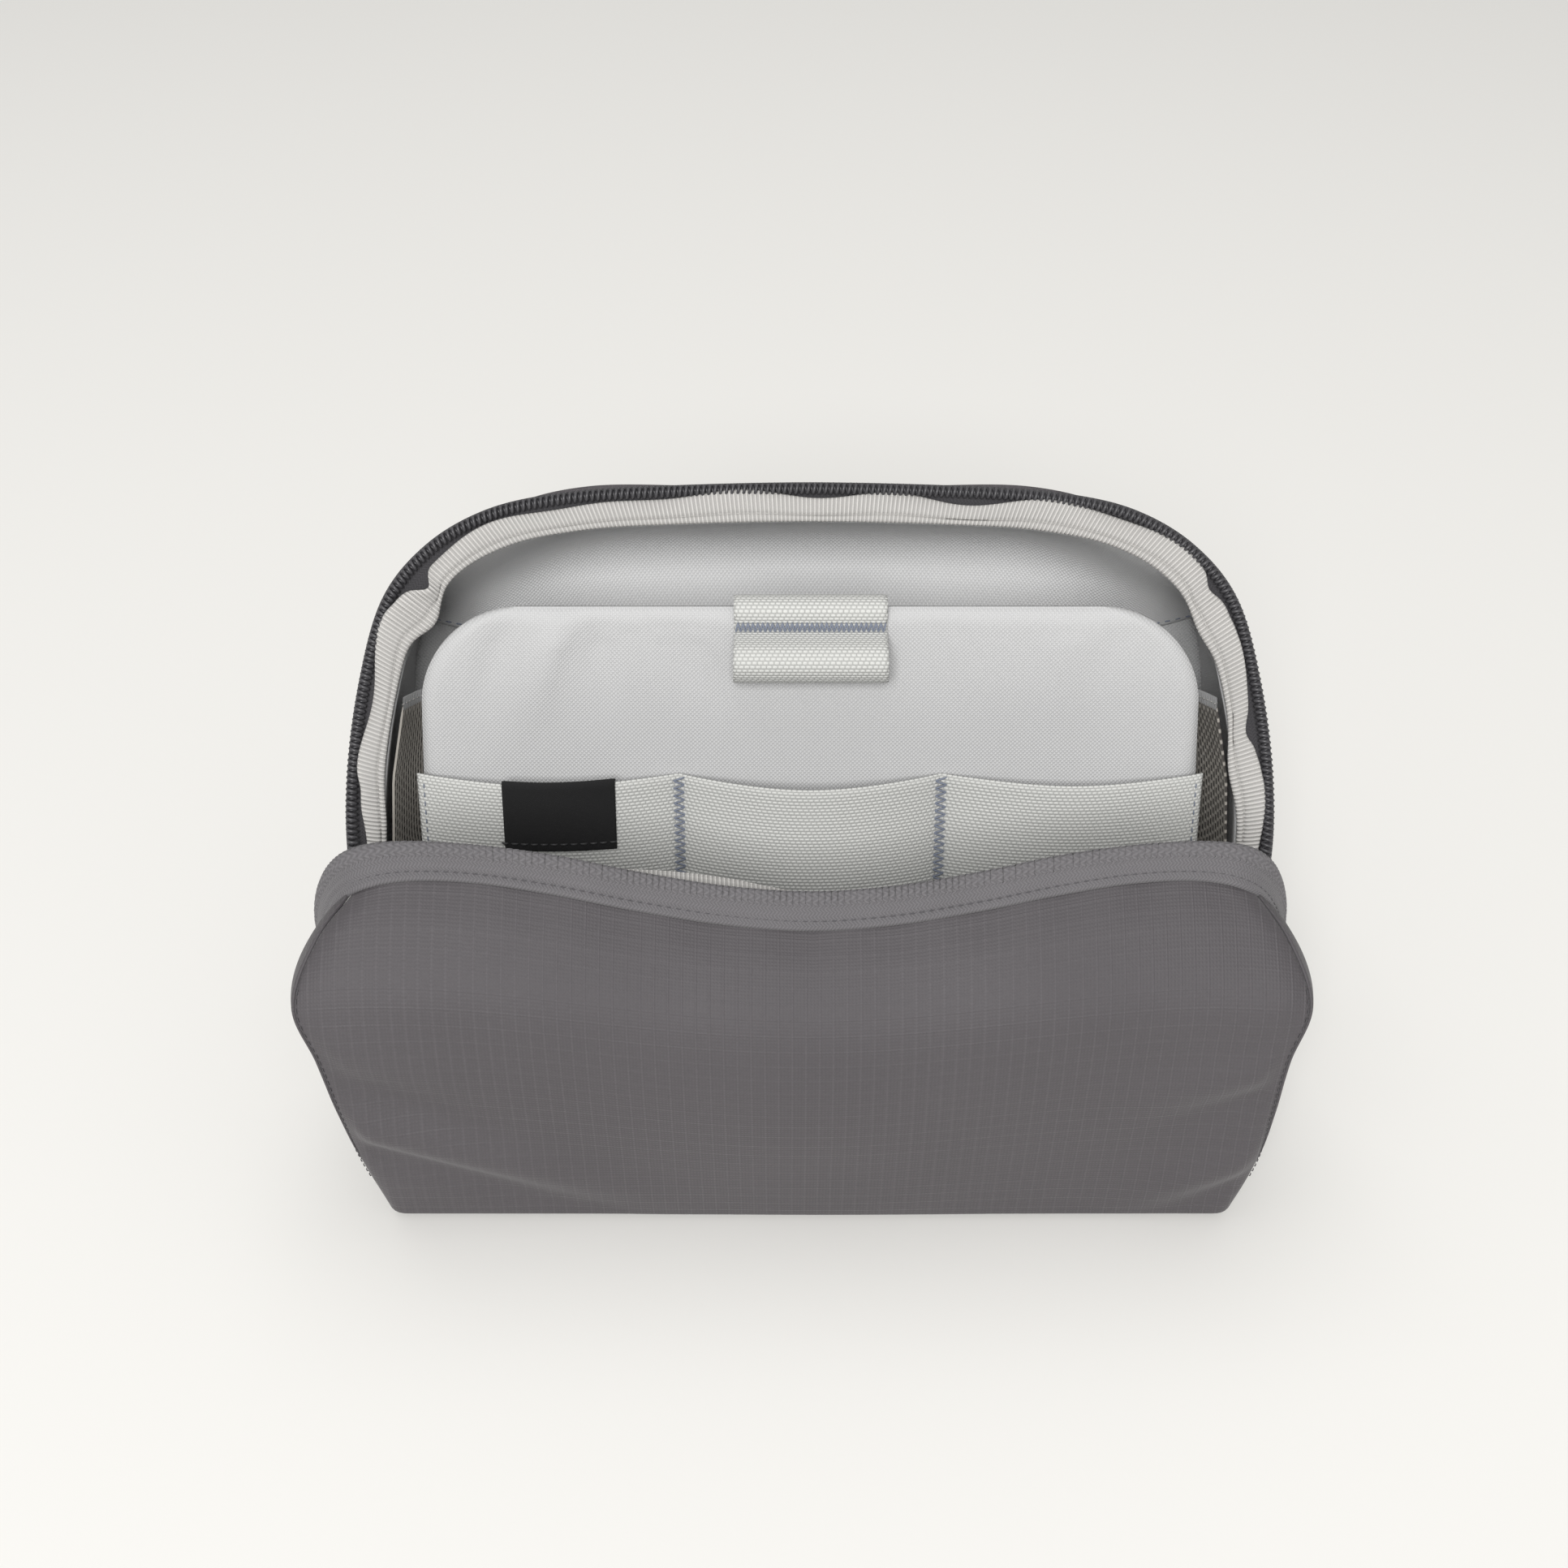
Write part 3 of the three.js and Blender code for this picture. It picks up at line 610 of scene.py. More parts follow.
@dataclass(frozen=True)
class PlainWeave:
    """Smooth lining cloth with a fine plain weave and a slight lustre."""

    name: str = "lining"
    shade: tuple = (0.56, 0.562, 0.567)
    yarn_pitch: float = 0.00105
    relief: float = 0.00017
    roughness: float = 0.58
    sheen: float = 0.06

    def build(self) -> bpy.types.Material:
        """A chequer of raised yarns.

        Returns:
            The material.
        """
        g = Graph(self.name)
        u, v = g.weave_uv()
        warp, weft = u.wave(self.yarn_pitch), v.wave(self.yarn_pitch)
        chequer = abs(warp - weft)
        slub = g.noise(420.0, 3.0, (1.0, 1.0, 0.25))
        cloud = g.noise(18.0, 3.0)
        tone = g.mix(self.shade, tuple(c * 0.86 for c in self.shade), cloud * 0.55 + slub * 0.25)
        pale = g.mix(tone, tuple(c * 0.8 for c in self.shade), (1 - chequer) * 0.5)
        height = chequer * 0.7 + slub * 0.4
        rough = self.roughness + cloud * 0.1
        return g.finish(pale, rough, height, self.relief, Sheen_Weight=self.sheen, Sheen_Roughness=0.4)


@dataclass(frozen=True)
class Grosgrain:
    """Ribbed binding tape: ribs run across the tape, so they repeat along it."""

    name: str = "grosgrain"
    shade: tuple = (0.64, 0.625, 0.605)
    rib_pitch: float = 0.00105

    def build(self) -> bpy.types.Material:
        """Round ribs with shaded valleys.

        Returns:
            The material.
        """
        g = Graph(self.name)
        u, v = g.weave_uv()
        rib = u.wave(self.rib_pitch)
        yarn = v.wave(0.00035)
        cloud = g.noise(60.0, 3.0)
        valley = (1 - rib) ** 2.0
        tone = g.mix(self.shade, tuple(c * 0.42 for c in self.shade), valley * 0.8)
        worn = g.mix(tone, tuple(c * 0.86 for c in self.shade), cloud * 0.4)
        height = rib + yarn * rib * 0.15
        return g.finish(worn, 0.74 + rib * 0.08, height, 0.0004, Sheen_Weight=0.06)


@dataclass(frozen=True)
class ElasticTwill:
    """Woven elastic: short plump floats in diagonal steps."""

    name: str = "elastic"
    shade: tuple = (0.655, 0.66, 0.64)
    float_pitch: float = 0.00135
    row_pitch: float = 0.0009

    def build(self) -> bpy.types.Material:
        """Floats repeat along the band and step over by a part of their pitch in each row.

        Returns:
            The material.
        """
        g = Graph(self.name)
        u, v = g.weave_uv()
        row = v.part(self.row_pitch)
        row_number = (v / self.row_pitch)._with("FLOOR")
        shifted = u + row_number * (self.float_pitch * 0.36)
        place = shifted.part(self.float_pitch)
        across_row = 1 - abs(row - 0.5) * 2
        along_float = 1 - abs(place - 0.5) * 2
        plump = (across_row ** 0.6) * (along_float ** 0.5)
        cloud = g.noise(40.0, 3.0)
        gap = 1 - plump.above(0.42, 0.2)
        tone = g.mix(self.shade, tuple(c * 0.42 for c in self.shade), gap * 0.66)
        varied = g.mix(tone, tuple(c * 0.84 for c in self.shade), cloud * 0.5)
        return g.finish(varied, 0.82, plump, 0.00028, Sheen_Weight=0.1)


@dataclass(frozen=True)
class TapeWeave:
    """Zip tape: fine herringbone ribs along the tape."""

    name: str = "zip_tape"
    shade: tuple = (0.140, 0.134, 0.142)
    rib_pitch: float = 0.00085

    def build(self) -> bpy.types.Material:
        """Chevrons that turn at the middle of each rib.

        Returns:
            The material.
        """
        g = Graph(self.name)
        u, v = g.weave_uv()
        zig = abs(v.part(self.rib_pitch * 2) - 0.5) * self.rib_pitch * 2
        slant = (u + zig).wave(self.rib_pitch)
        rib = v.wave(self.rib_pitch)
        cloud = g.noise(70.0, 3.0)
        tone = g.mix(tuple(c * 0.66 for c in self.shade), self.shade, slant)
        varied = g.mix(tone, tuple(c * 1.25 for c in self.shade), cloud * 0.35)
        return g.finish(varied, 0.8, slant * 0.6 + rib * 0.5, 0.00016, Sheen_Weight=0.1)


@dataclass(frozen=True)
class Nylon:
    """Moulded nylon monofilament, or any smooth plastic."""

    name: str = "zip_coil"
    shade: tuple = (0.045, 0.044, 0.048)
    roughness: float = 0.3

    def build(self) -> bpy.types.Material:
        """Slightly uneven gloss."""
        g = Graph(self.name)
        cloud = g.noise(700.0, 2.0)
        tone = g.mix(self.shade, tuple(c * 1.5 for c in self.shade), cloud)
        return g.finish(tone, self.roughness + cloud * 0.16, cloud, 0.00002)


@dataclass(frozen=True)
class MeshKnit:
    """Knitted mesh: upright slots in staggered rows between pale cords, the slots holding painted shadow
    where the holes would show the shaded lining behind.
    """

    name: str = "mesh"
    shade: tuple = (0.36, 0.338, 0.305)
    painted_hole_shadow: tuple = (0.05, 0.046, 0.042)
    column_pitch: float = 0.00125
    row_pitch: float = 0.0021

    def build(self) -> bpy.types.Material:
        """Slots once in each column and row, every other column moved by half a row.

        Returns:
            The material.
        """
        g = Graph(self.name)
        u, v = g.weave_uv()
        column = (u / self.column_pitch)._with("FLOOR")
        shift = (column * 0.5)._with("FRACT") * self.row_pitch
        slot_u = 1 - (abs(u.part(self.column_pitch) - 0.5) * 2).above(0.42, 0.12)
        slot_v = 1 - (abs((v + shift).part(self.row_pitch) - 0.5) * 2).above(0.62, 0.12)
        hole = slot_u * slot_v
        cord = u.wave(self.column_pitch)
        cloud = g.noise(50.0, 3.0)
        tone = g.mix(self.shade, tuple(c * 0.75 for c in self.shade), cloud)
        # Painted shadow: the holes are coloured near black instead of showing the shaded lining behind them.
        knit = g.mix(tone, self.painted_hole_shadow, hole)
        return g.finish(knit, 0.85, (1 - hole) * (0.7 + cord * 0.3), 0.0003)


@dataclass(frozen=True)
class Speckled:
    """Any finish whose only pattern is a fine and a coarse grain."""

    name: str
    shade: tuple
    roughness: float
    grain: float = 900.0
    relief: float = 0.00005
    metal: float = 0.0
    contrast: float = 0.3

    def build(self) -> bpy.types.Material:
        """Two grains, one on the colour and one on the relief.

        Returns:
            The material.
        """
        g = Graph(self.name)
        fine = g.noise(self.grain, 3.0)
        coarse = g.noise(self.grain / 14, 2.0)
        dark = tuple(c * (1 - self.contrast) for c in self.shade)
        tone = g.mix(self.shade, dark, fine * 0.6 + coarse * 0.4)
        return g.finish(tone, self.roughness + coarse * 0.1, fine, self.relief, Metallic=self.metal)


class Finish(Enum):
    """The pouch's finishes, by the record's material slot."""

    outer_ripstop = Ripstop()
    zip_tape = TapeWeave()
    zip_coil = Nylon()
    lining = PlainWeave()
    grosgrain = Grosgrain()
    elastic = ElasticTwill()
    mesh = MeshKnit()
    thread = Speckled("thread", (0.21, 0.235, 0.30), 0.6, 2600.0, 0.00004)
    label = PlainWeave("label", (0.006, 0.006, 0.0066), 0.0005, 0.00005, 0.9, 0.0)
    foam = Speckled("foam", (0.8, 0.8, 0.78), 0.9, 1600.0, 0.0002)
    board = Speckled("board", (0.1, 0.1, 0.105), 0.55)
    slider = Speckled("slider", (0.07, 0.07, 0.075), 0.32, 700.0, 0.00002, 0.85)


class Stitch(Enum):
    """Threads, the inner side of the zip tape and a brighter copy of the lining that carries painted light,
    which aren't slots of their own.
    """

    seam = Speckled("seam_thread", (0.085, 0.081, 0.088), 0.65, 2600.0, 0.00004)
    pale = Speckled("pale_thread", (0.56, 0.55, 0.53), 0.65, 2600.0, 0.00004)
    black = Speckled("black_thread", (0.03, 0.03, 0.032), 0.45, 2600.0, 0.00004)
    dark_tape = TapeWeave("zip_tape_inside", (0.047, 0.045, 0.05))
    # Same cloth as the lining, painted brighter: painted light for the deep back lining, where little light
    # reaches.
    back_lining = PlainWeave("back_lining_painted_brighter", (0.74, 0.742, 0.747))


class Wardrobe:
    """Builds each finish once and dresses pieces with it."""

    def __init__(self) -> None:
        """Start with no finish built."""
        self._made: dict[str, bpy.types.Material] = {}

    def material(self, finish: Finish | Stitch) -> bpy.types.Material:
        """The finish's material, built at its first use."""
        key = finish.value.name
        if key not in self._made:
            self._made[key] = finish.value.build()
        return self._made[key]

    def dress(self, obj: bpy.types.Object, finish: Finish | Stitch) -> None:
        """Give a piece its material."""
        obj.data.materials.clear()
        obj.data.materials.append(self.material(finish))

    def line_slab(self, obj: bpy.types.Object, surface: np.ndarray, finish: Finish | Stitch) -> None:
        """Give a slab's inner face a finish of its own.

        Args:
            obj: A dressed piece made by `slab`, whose faces are outer, inner and rim, in that order.
            surface: The grid of points that it was made from.
            finish: The inner face's finish.
        """
        obj.data.materials.append(self.material(finish))
        side = (surface.shape[0] - 1) * (surface.shape[1] - 1)
        number = np.zeros(len(obj.data.polygons), np.int32)
        number[side:2 * side] = 1
        obj.data.polygons.foreach_set("material_index", number)

    def dress_node(self, node: str, finish: Finish) -> None:
        """Give a node that stays visible its material."""
        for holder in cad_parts[node].material_slots:
            holder.material = self.material(finish)


WARDROBE = Wardrobe()


# ---- shared layout --------------------------------------------------------------------------


@dataclass(frozen=True)
class Fold:
    """How cloth would turn from the base to a moving wall, up and away from the fold line; pieces are not
    bent along it.
    """

    body: str
    start: tuple[float, float]
    end: tuple[float, float]

    def bend(self, obj: bpy.types.Object) -> None:
        """Bake the piece's placement into its mesh; the fold line's ends are worked out but not used, so the
        piece is not bent.
        """
        start = to_row(np.array([0.0, *self.start]))
        end = to_row(np.array([0.0, *self.end]))
        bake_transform(obj)


FRONT_FOLD = Fold("front_wall", (23.5, 11.0), (14.3, 31.0))
BACK_FOLD = Fold("back_wall", (66.5, 11.0), (77.3, 30.1))


@dataclass
class Frame2:
    """A leaning plane: x across, `up` along it from its foot, `forward` out of its front face."""

    foot: tuple[float, float]
    lean_degrees: float

    def at(self, x: np.ndarray, up: np.ndarray, forward: np.ndarray) -> np.ndarray:
        """Turn plane coordinates into layout points."""
        lean = math.radians(self.lean_degrees)
        depth = self.foot[0] + up * math.sin(lean) - forward * math.cos(lean)
        height = self.foot[1] + up * math.cos(lean) + forward * math.sin(lean)
        return np.stack(np.broadcast_arrays(x, depth, height), -1)

    @property
    def forward(self) -> np.ndarray:
        """The direction that the front face looks to."""
        lean = math.radians(self.lean_degrees)
        return np.array([0.0, -math.cos(lean), math.sin(lean)])


def coil(name: str, path: np.ndarray, out: np.ndarray, pitch: float = 1.45) -> bpy.types.Object:
    """Wind a zip's monofilament along a path.

    The wire turns round the path once in each pitch, on an oval that is wider across the tape than
    it is tall, and its own section is a hexagon.

    Args:
        name: The piece's name.
        path: The middle line of the coil.
        out: The direction square to the tape at each point.
        pitch: Distance between two turns, in millimetres.

    Returns:
        The new object.
    """
    run = np.concatenate([[0], np.cumsum(np.linalg.norm(np.diff(path, axis=0), axis=-1))])
    turns = run[-1] / pitch
    steps = np.linspace(0, run[-1], int(turns * 12))

    def at(values: np.ndarray) -> np.ndarray:
        """Read values at the steps."""
        return np.stack([np.interp(steps, run, values[:, k]) for k in range(3)], -1)

    middle, normal = at(path), unit(at(out))
    flank = unit(np.cross(unit(np.gradient(middle, axis=0)), normal))
    angle = (2 * math.pi * steps / pitch)[:, None]
    wide, tall, wire = 1.15, 0.85, 0.42
    spoke = np.cos(angle) * wide * flank + np.sin(angle) * tall * normal
    line = middle + spoke
    tangent = unit(np.gradient(line, axis=0))
    first = unit(spoke - tangent * np.sum(spoke * tangent, -1, keepdims=True))
    second = np.cross(tangent, first)
    turn = np.arange(6) * math.pi / 3
    rings = line[:, None] + wire * (
        np.cos(turn)[None, :, None] * first[:, None] + np.sin(turn)[None, :, None] * second[:, None]
    )
    return sweep(name, rings)


def settle(obj: bpy.types.Object, held: np.ndarray, pressure: float, cap: float, frames: int = 16) -> None:
    """Let a closed fabric piece swell with the cloth solver, then keep the result.

    Args:
        obj: The piece.
        held: For each vertex, 1 where it is sewn down and 0 where it is free.
        pressure: Pressure inside the piece.
        cap: The furthest that a point may move, in millimetres.
        frames: How many steps to run.
    """
    mesh = obj.data
    before = np.empty(len(mesh.vertices) * 3)
    mesh.vertices.foreach_get("co", before)
    group = obj.vertex_groups.new(name="sewn")
    group.add(np.flatnonzero(held > 0.5).tolist(), 1.0, "REPLACE")
    cloth = obj.modifiers.new("swell", "CLOTH")
    setting = cloth.settings
    setting.quality = 6
    setting.mass = 0.15
    setting.tension_stiffness = setting.compression_stiffness = 22
    setting.shear_stiffness = 8
    setting.bending_stiffness = 0.4
    setting.use_pressure = True
    setting.uniform_pressure_force = pressure
    setting.effector_weights.gravity = 0.0
    setting.vertex_group_mass = group.name
    cloth.collision_settings.use_collision = False
    cloth.point_cache.frame_start = 1
    cloth.point_cache.frame_end = frames
    scene = bpy.context.scene
    for number in range(1, frames + 1):
        scene.frame_set(number)
    solved = obj.evaluated_get(bpy.context.evaluated_depsgraph_get())
    after = np.empty_like(before)
    solved.data.vertices.foreach_get("co", after)
    obj.modifiers.remove(cloth)
    obj.vertex_groups.remove(group)
    scene.frame_set(1)
    moved = (after - before).reshape(-1, 3)
    far = np.linalg.norm(moved, axis=-1, keepdims=True)
    kept = moved * np.minimum(1.0, cap * MM / np.maximum(far, 1e-9))
    mesh.vertices.foreach_set("co", (before.reshape(-1, 3) + kept).ravel())
    mesh.update()


def report(obj: bpy.types.Object) -> bpy.types.Object:
    """Log a piece's size."""
    LOG.info("%-28s %7d faces", obj.name, len(obj.data.polygons))
    return obj


# ---- front wall -----------------------------------------------------------------------------


@dataclass
class FrontWall:
    """The slumped front wall, its side walls and its half of the zip."""

    side: list = field(default_factory=lambda: [
        (105, 0, 0.2), (109, -3, 23), (110.5, -5, 43), (112.3, -6, 62), (115.4, -5, 79), (110.4, 4, 91),
        (103, 13, 98),
    ])
    middle: list = field(default_factory=lambda: [
        (0, 0, 0.2), (0, -5, 21), (0, -9, 40), (0, -10, 57), (0, -7, 72), (0, 1, 82), (0, 10, 88.4),
    ])
    shoulder: float = 0.86
    corner: float = 4.5
    tuck: float = 1.6
    seam_end: float = 0.585
    rim: list = field(default_factory=lambda: [
        (0, 15.5, 95.2), (20, 16, 96.5), (40, 17.6, 99.4), (58, 19.4, 102.6), (76, 20.7, 104.6),
        (92, 21.4, 105), (103, 22.4, 102.3), (110.5, 25.4, 94), (116, 30.5, 79), (118.2, 36.5, 60),
        (116, 42, 41), (112.6, 46.5, 24),
    ])
    seam: list = field(default_factory=lambda: [
        (0, 10.6, 88.8), (20, 11.2, 90.1), (40, 12.7, 93), (58, 14.4, 96.2), (75, 15.8, 98.4),
        (90, 16.2, 98.8), (100.5, 15.6, 96.9), (108, 18, 89.5), (114.4, 23, 75), (117.4, 28.6, 58),
        (115.6, 34.6, 39), (112.6, 40.5, 23),
    ])

    def wall(self, share: np.ndarray, v: np.ndarray) -> np.ndarray:
        """The wall's outer face.

        Its side edge and its middle line are two curves. Between them depth and height follow a
        cosine of the distance from the middle, and x is the side edge's x times the share.

        Args:
            share: From -1 at the left side to 1 at the right.
            v: From 0 at the base to 1 at the zip tape.

        Returns:
            Layout points.
        """
        edge, centre = spline(self.side, v), spline(self.middle, v)
        points = self.plain_wall(edge, centre, share)
        top = self.plain_wall(spline(self.side, np.ones(1)), spline(self.middle, np.ones(1)), share)
        points = points + (self.top_edge(share) - top) * smooth(v, 0.5, 1.0)[..., None]
        beyond = np.maximum(0.0, np.abs(share) * BASE_HALF_WIDTH - (BASE_HALF_WIDTH - self.corner))
        turned = self.corner - np.sqrt(np.maximum(0.0, self.corner ** 2 - beyond ** 2))
        low = 1 - smooth(v, 0.02, 0.4)
        points[..., 1] += turned * low + self.tuck * (1 - smooth(v, 0.0, 0.018))
        return self.settled(points)

    @staticmethod
    def settled(points: np.ndarray) -> np.ndarray:
        """Narrow the right half by up to 3.6% above the base, as the slumped cloth stands."""
        right = np.where(points[..., 0] > 0, 0.036, -0.006) * smooth(points[..., 2], 8, 75)
        return points * np.stack([1 - right, np.ones_like(right), np.ones_like(right)], -1)

    def plain_wall(self, edge: np.ndarray, centre: np.ndarray, share: np.ndarray) -> np.ndarray:
        """Join the side edge and the middle line along a cosine."""
        reach = np.minimum(1.0, np.abs(share) / self.shoulder)
        points = edge + (centre - edge) * ((1 + np.cos(math.pi * reach)) / 2)[..., None]
        points[..., 0] = edge[..., 0] * share
        return points

    def top_edge(self, share: np.ndarray) -> np.ndarray:
        """The point of the tape's seam whose x is the share of the panel's half width there."""
        line = spline(self.seam, np.linspace(0, self.seam_end, 400))
        x = np.abs(share) * line[-1, 0]
        depth, height = (np.interp(x, line[:, 0], line[:, k]) for k in (1, 2))
        return np.stack([np.sign(share) * x, depth, height], -1)

    def creases(self, points: np.ndarray) -> np.ndarray:
        """Height of the soft folds that run in from the side seams.

        Each fold is a bell across a straight line. It is full at the seam and fades to its end.

        Args:
            points: Layout points on the wall.

        Returns:
            The height at each point, in millimetres.
        """
        lines = (
            ((-111, 43), (-22, 3), 6.0, 3.0), ((-110, 31), (-34, -2), 4.6, -1.9),
            ((-113, 68), (-60, 52), 7.0, 1.5), ((-112, 57), (-66, 34), 5.0, -1.5),
            ((110, 63), (66, 44), 6.0, 2.1), ((109, 53), (72, 33), 4.8, -1.7),
            ((109, 31), (70, 1), 6.0, 2.4), ((108, 20), (80, -2), 4.2, -1.5), ((110, 80), (86, 70), 6.0, 1.1),
        )
        x, z = points[..., 0], points[..., 2]
        total = np.zeros_like(x)
        for (x0, z0), (x1, z1), width, height in lines:
            length = math.hypot(x1 - x0, z1 - z0)
            along = ((x - x0) * (x1 - x0) + (z - z0) * (z1 - z0)) / length
            off = ((z - z0) * (x1 - x0) - (x - x0) * (z1 - z0)) / length
            fade = 1 - smooth(along, 0.25 * length, 1.05 * length)
            spread = width * (1 + 0.7 * np.clip(along / length, 0, 1))
            total += height * np.exp(-((off / spread) ** 2)) * fade
        return total

    def build(self) -> None:
        """Make every piece of the front wall."""
        self.make_panel()
        self.make_tape()
        for side, word in ((-1, "left"), (1, "right")):
            self.make_side(side, word)

    def make_panel(self) -> None:
        """The outer panel with its folds, and the lining behind it."""
        u, v = grid(220, 110)
        share = 2 * u - 1
        face = self.wall(share, v)
        out = normals(face, np.array([0, -1, 0.4]))
        calm = smooth(v, 0.0, 0.06) * (1 - smooth(v, 0.9, 1.0)) * (1 - smooth(np.abs(share), 0.94, 1.0))
        swell = 0.55 * ripple(face[..., 0] / 22, face[..., 2] / 16, 11)
        puckers = 0.22 * np.sin(face[..., 0] / 3.1 + 2 * ripple(face[..., 0] / 30, v * 0, 5))
        near_seam = smooth(v, 0.82, 0.97)
        lift = (self.creases(face) + swell) * calm + puckers * near_seam
        face = face + out * lift[..., None]
        uv = (face[..., 0], arc(face, 1))
        panel = slab("front_panel", face, -0.9, 0.0, np.array([0, -1, 0.4]), uv)
        WARDROBE.dress(panel, Finish.outer_ripstop)
        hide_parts("front_outer_panel")
        FRONT_FOLD.bend(panel)
        report(panel)
        inner = slice(4, -4)
        inner_uv = (uv[0][inner], uv[1][inner])
        lining = slab("front_wall_lining", face[inner], -2.2, -1.5, np.array([0, -1, 0.4]), inner_uv)
        WARDROBE.dress(lining, Finish.lining)
        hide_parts("front_lining")
        FRONT_FOLD.bend(lining)
        report(lining)
        for side, word in ((-1, "left"), (1, "right")):
            v_line = np.linspace(0.12, 0.72, 160)
            path = self.wall(np.full_like(v_line, side * 0.994), v_line)
            away = np.tile([side * 0.6, -1.0, 0.1], (160, 1))
            line = path + [side * 0.1, -0.05, 0]
            row = seam_row(f"front_side_stitching_{word}", line, away, 2.2, 0.62, 0.15)
            WARDROBE.dress(row, Stitch.seam)
            FRONT_FOLD.bend(row)

    def tape_surface(self, u: np.ndarray, v: np.ndarray) -> np.ndarray:
        """The zip tape: straight across from its seam line to its rim line."""
        low, high = spline(across(self.seam), u), spline(across(self.rim), u)
        return self.settled(low + (high - low) * v[..., None])

    def make_tape(self) -> None:
        """Zip tape with the coil's imprint, its seam, the coil behind it and the binding."""
        u, v = grid(1500, 12)
        face = self.tape_surface(u, -0.09 + 1.09 * v)
        out = normals(face, None)
        length = arc(face, 0)
        imprint = 0.16 * np.sin(2 * math.pi * length / 1.45) * smooth(v, 0.62, 0.72)
        ridge = 0.45 * np.exp(-(((v - 0.82) / 0.14) ** 2)) - 0.3 * np.exp(-(((v - 0.22) / 0.07) ** 2))
        ridge = ridge + 0.35 * np.exp(-(((v - 0.08) / 0.08) ** 2))
        wobble = 0.5 * ripple(length / 12, v, 3) * smooth(v, 0.0, 0.3)
        face = face + out * (imprint + ridge + wobble)[..., None]
        tape = slab("front_zip_band", face, 0.0, 0.8, None)
        WARDROBE.dress(tape, Finish.zip_tape)
        WARDROBE.line_slab(tape, face, Stitch.dark_tape)
        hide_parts("front_zip_tape")
        FRONT_FOLD.bend(tape)
        report(tape)
        self.make_coil()
        self.make_binding()
        line = np.linspace(0.01, 0.99, 600)
        path_surface = self.tape_surface(*np.meshgrid(line, np.array([0.16, 0.2]), indexing="ij"))
        away = normals(path_surface, None)[:, 0]
        row = seam_row("front_rim_stitching", path_surface[:, 0] + away * 0.62, away, 2.2, 0.6, 0.13)
        WARDROBE.dress(row, Stitch.seam)
        FRONT_FOLD.bend(row)
        report(row)

    def make_coil(self) -> None:
        """The coil on the tape's inner face."""
        line = np.linspace(0.004, 0.996, 700)
        surface = self.tape_surface(*np.meshgrid(line, np.array([0.8, 0.84]), indexing="ij"))
        away = normals(surface, None)[:, 0]
        wound = coil("front_coil", surface[:, 0] - away * 1.75, away)
        WARDROBE.dress(wound, Finish.zip_coil)
        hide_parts("front_zip_coil")
        FRONT_FOLD.bend(wound)
        report(wound)

    def make_binding(self) -> None:
        """Grosgrain tape that covers the raw edges behind the rim."""
        u, v = grid(600, 8)
        x = self.tape_surface(u, v)[..., 0]
        slack = np.exp(-(((x + 24) / 27) ** 2))
        face = self.tape_surface(u, 0.1 + (0.56 + 0.52 * slack) * v)
        out = normals(face, None)
        wave = 0.35 * ripple(arc(face, 0) / 5, v, 8)
        face = face - out * (1.1 + 0.6 * np.sin(math.pi * v) + wave + 5.2 * slack * v)[..., None]
        strip = slab("front_grosgrain", face, -0.35, 0.35, None)
        WARDROBE.dress(strip, Finish.grosgrain)
        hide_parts("front_binding")
        FRONT_FOLD.bend(strip)
        report(strip)

    def side_surface(self, side: int, u: np.ndarray, v: np.ndarray) -> np.ndarray:
        """The front half of a side wall.

        It is straight across from the front seam to a back edge that climbs from the base to the
        end of the zip and on along the tape's seam, with a swell that is full in the middle.

        Args:
            side: -1 for the left wall and 1 for the right.
            u: From 0 at the front seam to 1 at the back edge.
            v: From 0 at the base to 1 at the shoulder.

        Returns:
            Layout points.
        """
        front = self.wall(np.full_like(v, side), v) * [side, 1, 1]
        back = spline(
            [(103.5, 46, 0.7), (109.3, 44.5, 12), (112.6, 40.8, 23), (115.4, 34.9, 39), (117.2, 28.9, 58),
             (114.2, 23.3, 75), (108.4, 18.4, 88), tuple(self.top_edge(np.ones(1))[0])],
            v,
        )
        back = self.settled(back * [side, 1, 1]) * [side, 1, 1]
        points = front + (back - front) * u[..., None]
        swell = 2.6 * np.sin(math.pi * u) * np.sin(math.pi * np.clip(v, 0, 1)) ** 0.8
        dent = 1.0 * ripple(points[..., 1] / 9, points[..., 2] / 13, 21) * np.sin(math.pi * u)
        points[..., 0] += swell + dent * np.sin(math.pi * v)
        points[..., 0] *= side
        return points

    def make_side(self, side: int, word: str) -> None:
        """Make one side wall's front half and its lining.

        Args:
            side: -1 at the left, 1 at the right.
            word: The side's word in piece names.
        """
        u, v = grid(40, 90)
        face = self.side_surface(side, u, v)
        toward = np.array([side, 0, 0])
        uv = (arc(face, 0), face[..., 2])
        wall = slab(f"side_wall_front_{word}", face, -0.45, 0.45, toward, uv)
        WARDROBE.dress(wall, Finish.outer_ripstop)
        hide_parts(f"front_gusset_{word}", f"side_gusset_lower_{word}")
        FRONT_FOLD.bend(wall)
        report(wall)
        inside = self.side_surface(side, 0.1 + 0.9 * u, v)
        lining = slab(f"side_lining_front_{word}", inside, -1.7, -1.1, toward, uv)
        WARDROBE.dress(lining, Finish.lining)
        FRONT_FOLD.bend(lining)


# ---- back wall ------------------------------------------------------------------------------


